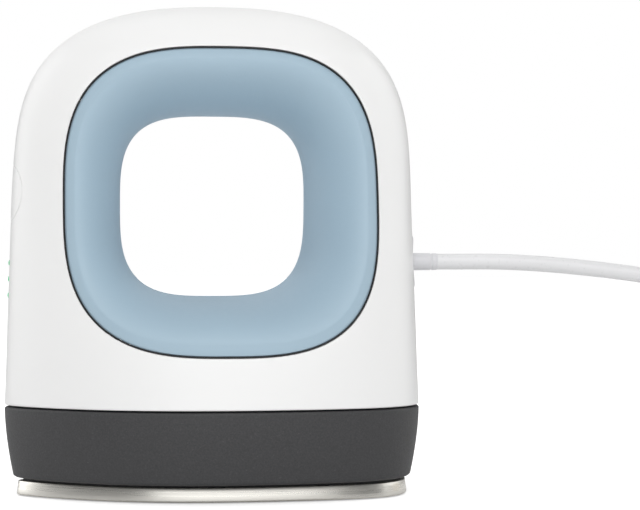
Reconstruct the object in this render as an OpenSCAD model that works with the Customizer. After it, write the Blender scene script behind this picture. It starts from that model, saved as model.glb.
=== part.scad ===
// Mini handheld heat press: an arched housing with a finger opening, standing on a heated plate.
// The button and the lamps are at the -X end, which the plate's tip points to. The cord leaves at the +X end.
// Millimetres, +Z up, origin on the sole at the centre of the housing.

/* [Housing] */
// Length of the housing at its lower edge
body_length = 87.8; // [87:0.1:89]
// Depth of the housing at its lower edge
body_depth = 63.4; // [62:0.1:65]
// Height of the crown above the sole
body_height = 103.1; // [102.5:0.1:104]
// Height of the seam between the skirt and the housing
seam_height = 18.5; // [18.2:0.1:18.9]
// Thickness of the housing's wall
shell_wall = 2.2; // [2:0.1:2.4]
// Depth that each broad face loses per millimetre of height
face_slope = 0.19; // [0.18:0.01:0.2]
// Length that each end loses per millimetre of height
end_slope = 0.032; // [0.028:0.002:0.036]
// Height at which the outline begins to arch over
arch_start = 60; // [58:1:62]
// How far the crown leans towards the tail
crown_lean = 0.5; // [0.3:0.1:0.7]
// How far below the crown the broad faces begin to roll over
crown_roll = 12.1; // [11.1:0.5:13.1]
// Open reveal between the housing and the skirt
seam_reveal = 0.4; // [0.3:0.05:0.5]

/* [Handle opening] */
// Height of the lower edge of the window that the grips close
window_foot = 29.3; // [29:0.1:29.6]
// Height of the handle between that window and the crown
crown_band = 9.8; // [9.5:0.1:10.1]
// Width of the window
window_width = 65.2; // [64.6:0.1:65.8]
// Width of the opening at its narrowest
throat_width = 39.5; // [38.8:0.1:40.4]
// How far the grips reach into the window from above and from below
lip_reach = 12.9; // [12.5:0.1:13.3]
// Thickness of the grips
grip_wall = 2; // [1.8:0.1:2.1]
// How far the grip runs on level with the housing before it rolls into the opening
grip_roll = 6; // [5:0.1:7]
// Width of the dark seal round each grip
seal_width = 0.3; // [0.25:0.05:0.35]

/* [Base] */
// Length of the heated plate
plate_length = 82.7; // [82:0.1:83.6]
// Width of the heated plate
plate_width = 50.4; // [49.8:0.1:51]
// Thickness of the plate's rim
plate_rim = 3; // [2.9:0.05:3.1]
// Rounding of the plate's lower edge
plate_round = 0.7; // [0.5:0.1:0.9]
// Height of the raised middle of the plate above its rim
pedestal_rise = 2.6; // [2.5:0.05:2.7]
// Gap between the plate's rim and the skirt, which the gasket fills
neck_gap = 0.8; // [0.7:0.05:0.9]
// Wall of the skirt
skirt_wall = 2.4; // [2.2:0.1:2.6]
// How far the skirt draws in from the seam to its foot
skirt_tuck = 1.9; // [1.7:0.1:2.1]
// Height of the tongue that locates the housing
tongue_height = 3; // [2.8:0.1:3.2]
// Thickness of the tongue
tongue_wall = 1.5; // [1.4:0.1:1.6]

/* [Controls] */
// Height of the middle of the power button
button_height = 63.2; // [62.9:0.1:63.8]
// Diameter of the power button
button_diameter = 11.9; // [11.5:0.1:12.3]
// Travel of the power button
button_travel = 0.5; // [0.4:0.05:0.5]
// Height of the middle lamp
lamp_height = 45.3; // [45:0.1:45.6]
// Distance from lamp to lamp
lamp_pitch = 3.4; // [3.3:0.1:3.6]
// Diameter of each lamp's window
lamp_diameter = 1.3; // [1.2:0.1:1.4]

/* [Cord] */
// Height at which the cord leaves the housing
cord_height = 49; // [48.8:0.1:49.2]
// Diameter of the cord bushing's flange
flange_diameter = 12.6; // [12:0.1:13]
// Length of the bushing's boot outside the housing
boot_length = 5.6; // [5.6:0.1:5.6]
// Diameter of the cord
cord_diameter = 3.4; // [3.4:0.1:3.4]

/* [Hidden] */

facets = 56;      // points round the housing and the base
rim_facets = 56;  // points round the handle opening
slack = 0.15;     // easy clearance between fitted pieces
fit = 0.05;       // close clearance

half_length = body_length / 2;
half_depth = body_depth / 2;
shell_foot = seam_height + seam_reveal;
crown_start = body_height - crown_roll;
window_height = body_height - crown_band - window_foot;
handle_height = window_foot + window_height / 2;
throat_height = window_height - 2 * lip_reach;
arch_power = 3.86;
arch_root = 2.42;
crown_power = 1.9;

// ---- plan outlines: an ellipse pinched towards the tip (-X) and filled out towards the tail (+X) ----
tip_pinch = 0.3;
tail_fill = 0.35;
plate_pinch = 0.5;
plate_fill = 0.48;
function blend(a, b, k) = a + (b - a) * k;
function fullness(c, pinch, fill) = (1 + c) / 2 * fill - (1 - c) / 2 * pinch;
function plan_point(a, b, pinch, fill, t) =
    let (c = cos(t)) [a * c, b * sin(t) * (1 + c * c * fullness(c, pinch, fill))];
function plan(a, b, pinch, fill) = [for (i = [0 : facets - 1]) plan_point(a, b, pinch, fill, 360 * i / facets)];
function plate_plan(inset) =
    plan(plate_length / 2 - inset, plate_width / 2 - inset, plate_pinch, plate_fill);
function lift(outline, z, shift = 0) = [for (p = outline) [p.x + shift, p.y, z]];

// A closed solid from rings of equal length: an outer skin going up, then an inner skin coming down.
module ring_solid(rings, closed_ends = false) {
    n = len(rings[0]);
    m = len(rings);
    points = [for (r = rings) for (p = r) p];
    last = closed_ends ? m - 2 : m - 1;
    faces = [for (i = [0 : last]) let (l = (i + 1) % m) for (j = [0 : n - 1]) let (k = (j + 1) % n)
        [i * n + j, l * n + j, l * n + k, i * n + k]];
    caps = closed_ends ? [[for (j = [0 : n - 1]) j], [for (j = [n - 1 : -1 : 0]) (m - 1) * n + j]] : [];
    polyhedron(points, concat(faces, caps), convexity = 10);
}

// ---- the housing's surface ----
function roll_over(z, start, power, root) =
    z <= start ? 1 : pow(max(0, 1 - pow((z - start) / (body_height - start), power)), 1 / root);
function shell_a(z) =
    (half_length - end_slope * (z - seam_height)) * roll_over(z, arch_start, arch_power, arch_root);
function shell_b(z) =
    (half_depth - face_slope * (z - seam_height)) * roll_over(z, crown_start, crown_power, crown_power);
function shell_pinch(z) = tip_pinch * (1 - 0.8 * (z - seam_height) / (body_height - seam_height));
function lean(z) = crown_lean * max(0, z - arch_start) / (body_height - arch_start);
function face_y(x, z) =
    let (c = (x - lean(z)) / shell_a(z))
    shell_b(z) * sqrt(max(0, 1 - c * c)) * (1 + c * c * fullness(c, shell_pinch(z), tail_fill));

side_rows = [0, 0.2, 0.4, 0.6, 0.8, 1];
arch_rows = 12;
inner_height = body_height - shell_wall;
function row_heights(top) = concat(
    [for (k = side_rows) blend(shell_foot, arch_start, k)],
    [for (i = [1 : arch_rows - 1]) arch_start + (top - arch_start) * pow(sin(90 * i / arch_rows), 2 / arch_power)]);
function outer_ring(z) = lift(plan(shell_a(z), shell_b(z), shell_pinch(z), tail_fill), z, lean(z));
// The inner skin is the outer one drawn in by the wall, with the arch squeezed down to the inner height.
function inner_ring(z) =
    let (s = z <= arch_start ? z : blend(arch_start, body_height, (z - arch_start) / (inner_height - arch_start)))
    lift(plan(shell_a(s) - shell_wall, max(0.3, shell_b(s) - shell_wall), shell_pinch(s), tail_fill), z, lean(s));
module shell_body() {
    outer_z = row_heights(body_height);
    inner_z = row_heights(inner_height);
    n = facets;
    rows = len(outer_z);
    points = concat([for (z = outer_z) for (p = outer_ring(z)) p], [for (z = inner_z) for (p = inner_ring(z)) p],
        [[crown_lean, 0, body_height], [crown_lean, 0, inner_height]]);
    crown = 2 * rows * n;
    outer_top = (rows - 1) * n;
    inner_foot = rows * n;
    inner_top = inner_foot + outer_top;
    faces = concat(
        [for (i = [0 : rows - 2]) for (j = [0 : n - 1]) let (k = (j + 1) % n)
            [i * n + j, i * n + n + j, i * n + n + k, i * n + k]],
        [for (i = [0 : rows - 2]) for (j = [0 : n - 1]) let (k = (j + 1) % n, o = inner_foot + i * n)
            [o + k, o + n + k, o + n + j, o + j]],
        [for (j = [0 : n - 1]) let (k = (j + 1) % n) [j, k, inner_foot + k, inner_foot + j]],
        [for (j = [0 : n - 1]) let (k = (j + 1) % n) [outer_top + j, crown, outer_top + k]],
        [for (j = [0 : n - 1]) let (k = (j + 1) % n) [inner_top + k, crown + 1, inner_top + j]]);
    polyhedron(points, faces, convexity = 8);
}

// The solid that the housing's outer skin encloses, for pieces that finish flush with it.
module skin_solid() {
    ring_solid([for (z = row_heights(body_height)) outer_ring(z)], true);
}

// ---- the window and the throat: superellipses round the middle of the handle ----
window_power = 3;
throat_power = 3.3;
window_shift = 0.3;
throat_drop = 0.5;
function oval(w, h, power, t) =
    let (c = cos(t), s = sin(t), r = pow(pow(abs(c), power) + pow(abs(s), power), -1 / power)) r * [w / 2 * c, h / 2 * s];
// A station of the grip: the rim's point, the way out to it from the throat, their distance,
// the housing's depth there and how much that depth grows per millimetre going in.
function station(t) =
    let (r = [window_shift, handle_height] + oval(window_width, window_height, window_power, t),
        h = [0, handle_height - throat_drop] + oval(throat_width, throat_height, throat_power, t),
        d = norm(r - h), out = (r - h) / d, q = r - out,
        f = face_y(r.x, r.y))
    [r, out, d, f, face_y(q.x, q.y) - f];
stations = [for (j = [0 : rim_facets - 1]) station(360 * j / rim_facets)];

// The rolled lip's section is a cubic from the rim to the throat: [distance out from the rim, depth].
lip_fullness = 0.62;
function lip(st, k) =
    let (m = st[4], u = [-1, m] / norm([-1, m]), p0 = [-grip_inset, st[3] + m * grip_inset],
        p1 = p0 + grip_roll * u, p2 = [-st[2], lip_fullness * st[3]], p3 = [-st[2], fit], j = 1 - k)
    j * j * j * p0 + 3 * j * j * k * p1 + 3 * j * k * k * p2 + k * k * k * p3;
// The hidden side of the lip, one wall behind it.
function lip_back(st, k) =
    let (d = lip(st, min(1, k + 0.02)) - lip(st, k - 0.02), u = d / norm(d), p = lip(st, k) + grip_wall * [-u.y, u.x])
    k == 1 ? [grip_wall - st[2], fit] : [p.x, max(p.y, fit)];

grip_inset = seal_width + 2 * fit;
landing_depth = shell_wall - 0.2;
lip_steps = [0, 0.07, 0.16, 0.26, 0.37, 0.49, 0.61, 0.74, 0.87, 1];
back_steps = [1, 0.78, 0.58, 0.38, 0.18];

// A closed section for each station, as [distance out from the rim, depth], carried round the opening.
module round_window(sections, side) {
    rings = [for (j = [0 : rim_facets - 1]) let (st = stations[j]) [for (p = sections[j])
        [st[0].x + st[1].x * p.x, side * p.y, st[0].y + st[1].y * p.x]]];
    ring_solid(side > 0 ? rings : [for (j = [rim_facets - 1 : -1 : 0]) rings[j]]);
}
function grip_section(st) = concat(
    [for (k = lip_steps) lip(st, k)],
    [for (k = back_steps) lip_back(st, k)],
    [[-grip_inset, st[3] + st[4] * grip_inset - landing_depth + fit]]);
function seal_section(st) =
    let (f = st[3], m = st[4], i = -fit - seal_width, top = -0.12, foot = 2 * fit - landing_depth)
    [[i, f - m * i + foot], [-fit, f + m * fit + foot], [-fit, f + m * fit + top], [i, f - m * i + top]];
landing_reach = 2.6;
landing_hook = 1.6;
landing_drop = 1.1;
function landing_section(st) =
    let (f = st[3] - landing_depth, m = st[4], i = -landing_reach)
    [[0.08, f - 0.08 * m], [i, f - m * i - landing_drop], [i, f - m * i - landing_drop - 1.5],
        [landing_hook, f - m * landing_hook - 1.8], [landing_hook, f - m * landing_hook + 0.9]];

module grip(side) { round_window([for (st = stations) grip_section(st)], side); }
module grip_seal(side) { round_window([for (st = stations) seal_section(st)], side); }
module landing(side) { round_window([for (st = stations) landing_section(st)], side); }
module window_prism() {
    rotate([90, 0, 0])
        linear_extrude(2 * body_depth, center = true)
            polygon([for (st = stations) st[0]]);
}

// ---- small shapes ----
module along_x(x, z, length, d, y = 0) {
    translate([x, y, z])
        rotate([0, 90, 0])
            cylinder(h = length, d = d, $fn = 48);
}
module post(x, y, z, h, d) {
    translate([x, y, z])
        cylinder(h = h, d = d, $fn = 32);
}
module box(x, y, z) {
    translate([x[0], y[0], z[0]])
        cube([x[1] - x[0], y[1] - y[0], z[1] - z[0]]);
}
// A pan-head screw with a cross recess, its head standing on height z.
module pan_screw(x, y, z, d, head_d, head_h, length) {
    difference() {
        union() {
            post(x, y, z, head_h, head_d);
            post(x, y, z - length, length, d);
        }
        for (turn = [0, 90])
            translate([x, y, z + head_h])
                rotate([0, 0, turn])
                    cube([head_d * 0.6, head_d * 0.14, head_h], center = true);
    }
}
// A lead or cord: a tube of n sides carried through points, its ends square to its path.
function heading(path, i) =
    let (a = path[max(0, i - 1)], b = path[min(len(path) - 1, i + 1)]) (b - a) / norm(b - a);
function side_of(t) = let (s = cross(t, abs(t.z) > 0.9 ? [0, 1, 0] : [0, 0, 1])) s / norm(s);
function tube_ring(path, i, d, n, twist) =
    let (t = heading(path, i), u = side_of(t), v = cross(t, u))
    [for (j = [0 : n - 1]) path[i] + d / 2 * (cos(360 * j / n + twist) * u + sin(360 * j / n + twist) * v)];
module tube(path, d, n = 6, twist = 0) {
    ring_solid([for (i = [0 : len(path) - 1]) tube_ring(path, i, d, n, twist)], true);
}
// A smooth way through points, in steps between each pair.
function curve_point(a, b, c, d, k) =
    0.5 * (2 * b + (c - a) * k + (2 * a - 5 * b + 4 * c - d) * k * k + (3 * b - a - 3 * c + d) * k * k * k);
function smooth(p, steps) = let (n = len(p) - 1) concat(
    [for (i = [0 : n - 1]) for (s = [0 : steps - 1])
        curve_point(p[max(0, i - 1)], p[i], p[i + 1], p[min(n, i + 2)], s / steps)],
    [p[n]]);

// ---- tip end: button, switch and lamps ----
skin_x = -shell_a(button_height);
sleeve_wall = 1.6;
sleeve_start = skin_x + 3.5;
sleeve_end = skin_x + 5.5;
button_bore = button_diameter + 2 * slack;
flange_thick = 0.9;
flange_d = button_diameter + 2;
stem_d = 3.2;
stem_end = sleeve_end + flange_thick + 0.7 + fit;
plunger_length = 1.3;
plunger_d = 3.4;
plunger_depth = 1.3;
switch_face = stem_end + plunger_length;
switch_size = 6.2;
switch_depth = 3.4;
board_face = switch_face + switch_depth;
board_thick = 1.2;
board_low = lamp_height - 7.8;
board_high = button_height + 8.7;
board_half = 6;
rib_half = 3;
rib_start = 1.3 - half_length;
rib_end = board_face + board_thick + 1.2;
rib_overlap = 1.6;
rib_height = 3.4;
lamp_heights = [for (i = [-1 : 1]) lamp_height + i * lamp_pitch];

module rib_slots() {
    box([board_face - fit, board_face + board_thick + fit], [-rib_half - 1, rib_half + 1],
        [board_low - fit, board_high + fit]);
}
module button_ribs() {
    difference() {
        union() {
            box([rib_start, rib_end], [-rib_half, rib_half],
                [board_low + rib_overlap - rib_height, board_low + rib_overlap]);
            box([rib_start + 1.5, rib_end], [-rib_half, rib_half],
                [board_high - rib_overlap, board_high - rib_overlap + rib_height]);
        }
        rib_slots();
    }
}

// ---- tail end: bushing and cord clamp ----
tail_x = shell_a(cord_height);
dish_depth = 1.5;
dish_floor = tail_x - dish_depth;
bushing_neck = 8;
collar_d = 10.4;
collar_thick = 1;
wall_back = tail_x - 6;
boot_root_d = 3.75;
boot_end_d = 3.45;
boot_end = tail_x + boot_length;
cord_r = cord_diameter / 2;
tail_start = wall_back - collar_thick - fit;
shelf_top = cord_height - cord_r - fit;
shelf_low = shelf_top - 3;
shelf_half = 8.6;
shelf_inner = tail_start - 7;
shelf_outer = tail_start - 0.6;
web_half = collar_d / 2 + 0.7;
clamp_mid = (shelf_inner + shelf_outer) / 2;
clamp_half = 2;
clamp_screw_y = 5.6;
clamp_top = cord_height + 2.6;

module cord_shelf() {
    box([shelf_inner, shelf_outer], [-shelf_half, shelf_half], [shelf_low, shelf_top]);
    for (y = [-shelf_half, web_half])
        box([shelf_inner, tail_x - 2], [y, y + shelf_half - web_half], [shelf_low, shelf_top]);
}

// ---- snap hooks between the skirt's tongue and the housing ----
hook_x = [-14, 16];
hook_width = 7;
hook_height = 1.2;
hook_low = shell_foot + 1.1;
// A ring of the tongue, which leans in as the housing's wall does.
function tongue_ring(inset, z) = let (up = z - seam_height)
    lift(plan(half_length - shell_wall - slack - inset - end_slope * up,
        half_depth - shell_wall - slack - inset - face_slope * up, tip_pinch, tail_fill), z);
function inner_y(x) = face_y(x, shell_foot) - shell_wall;
module hooks(grow) {
    for (x = hook_x)
        for (side = [-1, 1])
            translate([x, side * (inner_y(x) - 0.5), hook_low + hook_height / 2])
                cube([hook_width + 2 * grow, 2.4 + 2 * grow, hook_height + 2 * grow], center = true);
}

module outer_shell() {
    color("white")
    difference() {
        union() {
            difference() {
                shell_body();
                window_prism();
            }
            landing(-1);
            landing(1);
            along_x(sleeve_start, button_height, sleeve_end - sleeve_start, button_bore + 2 * sleeve_wall);
            along_x(wall_back, cord_height, tail_x - 2 - wall_back, flange_diameter + 3.4);
            button_ribs();
            cord_shelf();
        }
        along_x(-half_length - 1, button_height, sleeve_end + half_length + 2, button_bore);
        for (z = lamp_heights)
            along_x(-half_length - 1, z, 8, lamp_diameter + 2 * fit);
        along_x(dish_floor, cord_height, 8, flange_diameter + 2 * slack);
        along_x(wall_back - 1, cord_height, 9, bushing_neck + 2 * fit);
        for (y = [-clamp_screw_y, clamp_screw_y])
            post(clamp_mid, y, shelf_low - 1, 5, clamp_screw_d + 2 * fit);
        hooks(slack);
    }
}
module front_grip() { color("lightsteelblue") grip(-1); }
module rear_grip() { color("lightsteelblue") grip(1); }
module front_grip_seal() { color("black") grip_seal(-1); }
module rear_grip_seal() { color("black") grip_seal(1); }

// ---- base ----
neck_top = plate_rim + neck_gap;
pedestal_inset = 3.4;
pedestal_top = plate_rim + pedestal_rise;
ledge_inset = pedestal_inset - 0.5;
ledge_top = pedestal_top + 1.35;
post_x = [-20, 22];
post_gap = 3.75;  // from the skirt's inner face to the middle of a post
post_d = 6;
shield_bottom = ledge_top + 5.4;
shield_thick = 0.8;
screw_d = 2.6;
screw_bore = screw_d + 2 * fit;
plate_screw_spots = [[-18, 10], [22, 12], [-18, -10], [22, -12]];

// The skirt bows out a little between its seam and its foot.
skirt_rows = [[0, 0.5], [0.035, 0], [0.25, 0], [0.5, 0], [0.75, 0], [0.965, 0], [1, 0.35]];
function skirt_z(k) = blend(neck_top, seam_height, k);
function skirt_tuck_at(k) = skirt_tuck * pow(1 - k, 1.7);
function skirt_ring(k, inset) = let (t = skirt_tuck_at(k) + inset)
    lift(plan(half_length - t, half_depth - t, tip_pinch, tail_fill), skirt_z(k));
tongue_top = shell_foot + tongue_height;
inner_row = 0.45;
inner_tuck = skirt_tuck_at(inner_row) + skirt_wall + 0.3;
function wall_y(x) = abs(plan_point(half_length - inner_tuck, half_depth - inner_tuck, tip_pinch, tail_fill,
    acos(x / (half_length - inner_tuck))).y);
post_spots = [for (side = [1, -1]) for (x = post_x) [x, side * (wall_y(x) - post_gap)]];

module base_skirt() {
    color("dimgray")
    difference() {
        union() {
            ring_solid(concat(
                [for (r = skirt_rows) skirt_ring(r[0], r[1])],
                [tongue_ring(0, seam_height), tongue_ring(0, tongue_top - 0.4), tongue_ring(0.4, tongue_top),
                    tongue_ring(tongue_wall, tongue_top), tongue_ring(tongue_wall, seam_height - 2)],
                [skirt_ring(inner_row, skirt_wall + 0.3), lift(plate_plan(ledge_inset - 4), ledge_top),
                    lift(plate_plan(ledge_inset), ledge_top), lift(plate_plan(ledge_inset), neck_top)]));
            for (p = post_spots)
                post(p.x, p.y, ledge_top - 1, shield_bottom - ledge_top + 1 - fit, post_d);
            hooks(0);
        }
        for (p = post_spots)
            post(p.x, p.y, ledge_top, 8, screw_bore);
    }
}

gasket_width = 1.9;
module plate_gasket() {
    color("black")
    translate([0, 0, plate_rim])
        linear_extrude(neck_gap)
            difference() {
                polygon(plate_plan(1.2));
                polygon(plate_plan(1.2 + gasket_width));
            }
}

plate_steps = [[plate_round, 0], [plate_round * 0.3, plate_round * 0.3], [0, plate_round]];
module heat_plate() {
    color("silver")
    difference() {
        ring_solid(concat(
            [for (s = plate_steps) lift(plate_plan(s[0]), s[1])],
            [lift(plate_plan(0), plate_rim - 0.25), lift(plate_plan(0.25), plate_rim),
                lift(plate_plan(pedestal_inset), plate_rim), lift(plate_plan(pedestal_inset), pedestal_top)]), true);
        for (p = plate_screw_spots)
            post(p.x, p.y, 1.4, 8, screw_bore);
    }
}

element_thick = 0.6;
element_top = pedestal_top + element_thick;
clamp_low = ledge_top + fit;
clamp_thick = 1;
clamp_top_face = clamp_low + clamp_thick;
tab_x = [-6, 8];
tab_half = 4;

// A flat sheet in the plate's outline, with clearance holes for the plate screws.
module stack_sheet(inset, low, high, hole_d) {
    translate([0, 0, low])
        linear_extrude(high - low)
            difference() {
                polygon(plate_plan(inset));
                for (p = plate_screw_spots)
                    translate(p)
                        circle(d = hole_d, $fn = 32);
            }
}
module heating_element() { color("sienna") stack_sheet(5.5, pedestal_top, element_top, screw_d + 1.4); }
module mica_sheet() { color("tan") stack_sheet(5, element_top, clamp_low, screw_d + 0.6); }
module clamp_plate() {
    color("gainsboro")
    difference() {
        union() {
            stack_sheet(6, clamp_low, clamp_top_face, screw_d + 0.4);
            for (x = tab_x)
                box([x - tab_half, x + tab_half], [-plate_width / 2 + 0.9, plate_width / 2 - 0.9], [clamp_low, clamp_top_face]);
        }
        for (p = post_spots)
            post(p.x, p.y, clamp_low - 1, 4, post_d + 0.8);
    }
}
plate_screw_reach = clamp_top_face - 1.6;
plate_head_d = 4.8;
plate_head_h = 1.8;
module plate_screws() {
    color("silver")
    for (p = plate_screw_spots)
        pan_screw(p.x, p.y, clamp_top_face, screw_d, plate_head_d, plate_head_h, plate_screw_reach);
}

pad_low = clamp_top_face + fit;
pad_high = shield_bottom - fit;
sensor_y = 7;
sensor_half = [8.6, 3.4];
module insulation_pad() {
    color("ivory")
    difference() {
        stack_sheet(6.5, pad_low, pad_high, plate_head_d + 0.8);
        for (p = post_spots)
            post(p.x, p.y, pad_low - 1, 8, post_d + 1);
        for (side = [-1, 1])
            translate([0, side * sensor_y, pad_high])
                cube([2 * sensor_half.x, 2 * sensor_half.y, 12], center = true);
        box([-2, 2], [-sensor_y, sensor_y], [pad_high - 2, pad_high + 1]);
    }
}
fuse_d = 3.4;
module thermal_fuse() {
    color("gold")
    union() {
        along_x(-4.4, clamp_top_face + fuse_d / 2, 8.8, fuse_d, -sensor_y);
        along_x(-6.6, clamp_top_face + fuse_d / 2, 13.2, 1, -sensor_y);
    }
}
module thermistor() {
    color("goldenrod")
    union() {
        difference() {
            post(3, sensor_y, clamp_top_face, 0.7, 5);
            post(3, sensor_y, clamp_top_face - 1, 3, 2.2);
        }
        box([-3, 1.6], [sensor_y - 0.9, sensor_y + 0.9], [clamp_top_face, clamp_top_face + 0.7]);
        along_x(-4.6, clamp_top_face + 1.1, 3.4, 1.8, sensor_y);
    }
}

shield_top = shield_bottom + shield_thick;
shield_ear_d = 5.2;
lead_slot_x = [-8.6, 8.6];
module heat_shield() {
    color("silver")
    difference() {
        union() {
            translate([0, 0, shield_bottom])
                linear_extrude(shield_thick)
                    polygon(plate_plan(2.4));
            for (p = post_spots) {
                post(p.x, p.y, shield_bottom, shield_thick, shield_ear_d);
                box([p.x - 2, p.x + 2], [min(p.y, sign(p.y) * 16), max(p.y, sign(p.y) * 16)],
                    [shield_bottom, shield_top]);
            }
            translate([0, 0, shield_top])
                linear_extrude(1.4)
                    difference() {
                        polygon(plate_plan(2.4));
                        polygon(plate_plan(3.2));
                    }
        }
        for (p = post_spots)
            post(p.x, p.y, shield_top, 3, plate_head_d + 0.8);
        for (p = concat(post_spots, standoff_spots))
            post(p.x, p.y, shield_bottom - 1, 6, screw_d + 0.4);
        box(lead_slot_x, [sensor_y - 2, sensor_y + 2], [shield_bottom - 1, shield_top + 1]);
        box(lead_slot_x, [-sensor_y - 2, -sensor_y + 2], [shield_bottom - 1, shield_top + 1]);
    }
}
module shield_screws() {
    color("silver")
    for (p = post_spots)
        pan_screw(p.x, p.y, shield_top, screw_d, plate_head_d, plate_head_h, shield_top - ledge_top - 0.6);
}

// ---- control board and what it carries ----
board_x = [-26, 27];
board_y = [-13.5, 13.5];
standoff_spots = [[-22.5, 10.5], [23.5, 10.5], [-22.5, -10.5], [23.5, -10.5]];
standoff_h = 4;
pcb_low = shield_top + standoff_h;
pcb_thick = 1.6;
pcb_top = pcb_low + pcb_thick;
module board_standoffs() {
    color("goldenrod")
    for (p = standoff_spots)
        difference() {
            union() {
                translate([p.x, p.y, shield_top])
                    cylinder(h = standoff_h, d = 5, $fn = 6);
                post(p.x, p.y, shield_bottom, shield_thick + 1, screw_d);
            }
            post(p.x, p.y, shield_top + 0.8, standoff_h, 2.1);
        }
}
module control_board() {
    color("darkgreen")
    difference() {
        box(board_x, board_y, [pcb_low, pcb_top]);
        for (p = standoff_spots)
            post(p.x, p.y, pcb_low - 1, 4, 2.4);
    }
}
module board_screws() {
    color("silver")
    for (p = standoff_spots)
        pan_screw(p.x, p.y, pcb_top, 2, 3.8, 1.4, 4);
}
module relay() { color("royalblue") box([-19, -3.5], [-4.5, 5.5], [pcb_top, pcb_top + 12.5]); }
module transformer() {
    color("khaki")
    union() {
        box([0, 13], [-5.5, 7.5], [pcb_top, pcb_top + 2.2]);
        box([1.5, 11.5], [-4, 6], [pcb_top + 2, pcb_top + 9]);
        box([0.4, 12.6], [-1.5, 3.5], [pcb_top + 2, pcb_top + 11]);
    }
}
module film_capacitor() { color("gold") box([-19, -6], [-11.5, -6.5], [pcb_top, pcb_top + 8.5]); }
module electrolytic_capacitor() {
    color("darkslateblue")
    difference() {
        post(-1, -9, pcb_top, 9, 6.3);
        for (turn = [0, 90])
            translate([-1, -9, pcb_top + 9])
                rotate([0, 0, turn])
                    cube([3.6, 0.3, 0.5], center = true);
    }
}
module board_fuse() {
    color("silver")
    union() {
        along_x(4, pcb_top + 3.1, 14, 4, -10);
        for (x = [4, 14.4])
            box([x, x + 3.6], [-12.3, -7.7], [pcb_top, pcb_top + 3.1]);
    }
}
terminal_x = [17, 24];
terminal_y = [-5, 5];
module mains_terminal() {
    color("seagreen")
    difference() {
        box(terminal_x, terminal_y, [pcb_top, pcb_top + 8]);
        for (y = [-2.5, 2.5]) {
            post(20, y, pcb_top + 4, 5, 2.8);
            along_x(21.5, pcb_top + 3, 4, 2.6, y);
        }
    }
}
module controller_chip() {
    color("black")
    union() {
        box([-4, 3], [8.7, 12.7], [pcb_top + 0.2, pcb_top + 1.7]);
        for (i = [-2 : 2])
            for (y = [8, 13.4])
                box([i * 1.27 - 0.7, i * 1.27 - 0.3], [min(y, 10.7), max(y, 10.7)], [pcb_top, pcb_top + 0.5]);
    }
}

// ---- button end ----
module button_board() {
    color("darkgreen")
    box([board_face, board_face + board_thick], [-board_half, board_half], [board_low, board_high]);
}
module tact_switch() {
    color("black")
    difference() {
        translate([switch_face, -switch_size / 2, button_height - switch_size / 2])
            cube([switch_depth, switch_size, switch_size]);
        along_x(switch_face - 1, button_height, plunger_depth + button_travel + 1.3, plunger_d + 2 * fit);
    }
}
module switch_plunger() {
    color("ivory")
    along_x(stem_end, button_height, plunger_length + plunger_depth, plunger_d);
}
module power_button() {
    color("white")
    union() {
        intersection() {
            skin_solid();
            along_x(-half_length, button_height, half_length + sleeve_end + fit + 0.2, button_diameter);
        }
        along_x(sleeve_end + fit, button_height, flange_thick, flange_d);
        along_x(sleeve_end + fit + 0.2, button_height, stem_end - sleeve_end - fit - 0.2 - 0.02, stem_d);
    }
}
led_thick = 0.8;
led_size = 1.6;
pipe_end = board_face - led_thick - 0.2;
module indicator_leds() {
    color("palegreen")
    for (z = lamp_heights)
        box([board_face - led_thick, board_face], [-led_size / 2, led_size / 2], [z - led_size / 2, z + led_size / 2]);
}
module light_pipe() {
    color("mediumaquamarine")
    union() {
        intersection() {
            skin_solid();
            union()
                for (z = lamp_heights)
                    along_x(-half_length, z, pipe_end + half_length, lamp_diameter);
        }
        box([pipe_end - 3.4, pipe_end - 2], [-1.5, 1.5],
            [lamp_height - lamp_pitch - 1.5, lamp_height + lamp_pitch + 1.5]);
    }
}

// ---- cord end ----
bushing_profile = [[0, wall_back - collar_thick], [collar_d / 2 - 0.6, wall_back - collar_thick],
    [collar_d / 2, wall_back - fit - 0.4], [collar_d / 2, wall_back - fit], [bushing_neck / 2, wall_back - fit],
    [bushing_neck / 2, dish_floor + fit], [flange_diameter / 2, dish_floor + fit],
    [flange_diameter / 2, tail_x - 0.8], [flange_diameter / 2 - 0.5, tail_x - 0.5], [4.6, tail_x - 0.75],
    [3, tail_x - 0.85], [2.3, tail_x - 0.6], [boot_root_d / 2, tail_x], [1.8, boot_end - 1.5],
    [1.66, boot_end - 1.35], [1.66, boot_end - 1.2], [boot_end_d / 2 + 0.04, boot_end - 1.05],
    [boot_end_d / 2, boot_end - 0.15], [cord_r, boot_end], [0, boot_end]];
module cord_bushing() {
    color("gainsboro")
    translate([0, 0, cord_height])
        rotate([0, 90, 0])
            rotate_extrude($fn = 64)
                polygon(bushing_profile);
}
cord_tail_end = shelf_inner - 1.4;
module cord_tail() {
    color("white")
    along_x(cord_tail_end, cord_height, wall_back - collar_thick - cord_tail_end, cord_diameter);
}
clamp_screw_d = 2.2;
module cord_clamp() {
    color("dimgray")
    difference() {
        box([clamp_mid - clamp_half, clamp_mid + clamp_half], [-shelf_half + 0.4, shelf_half - 0.4],
            [shelf_top, clamp_top]);
        along_x(clamp_mid - 4, cord_height, 8, cord_diameter + 2 * fit);
        box([clamp_mid - 3, clamp_mid + 3], [-cord_r - fit, cord_r + fit], [shelf_top - 1, cord_height]);
        for (y = [-clamp_screw_y, clamp_screw_y])
            post(clamp_mid, y, shelf_top - 1, 8, clamp_screw_d + 2 * fit);
    }
}
module clamp_screws() {
    color("silver")
    for (y = [-clamp_screw_y, clamp_screw_y])
        pan_screw(clamp_mid, y, clamp_top, clamp_screw_d, 4, 1.5, clamp_top - shelf_low);
}

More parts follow.
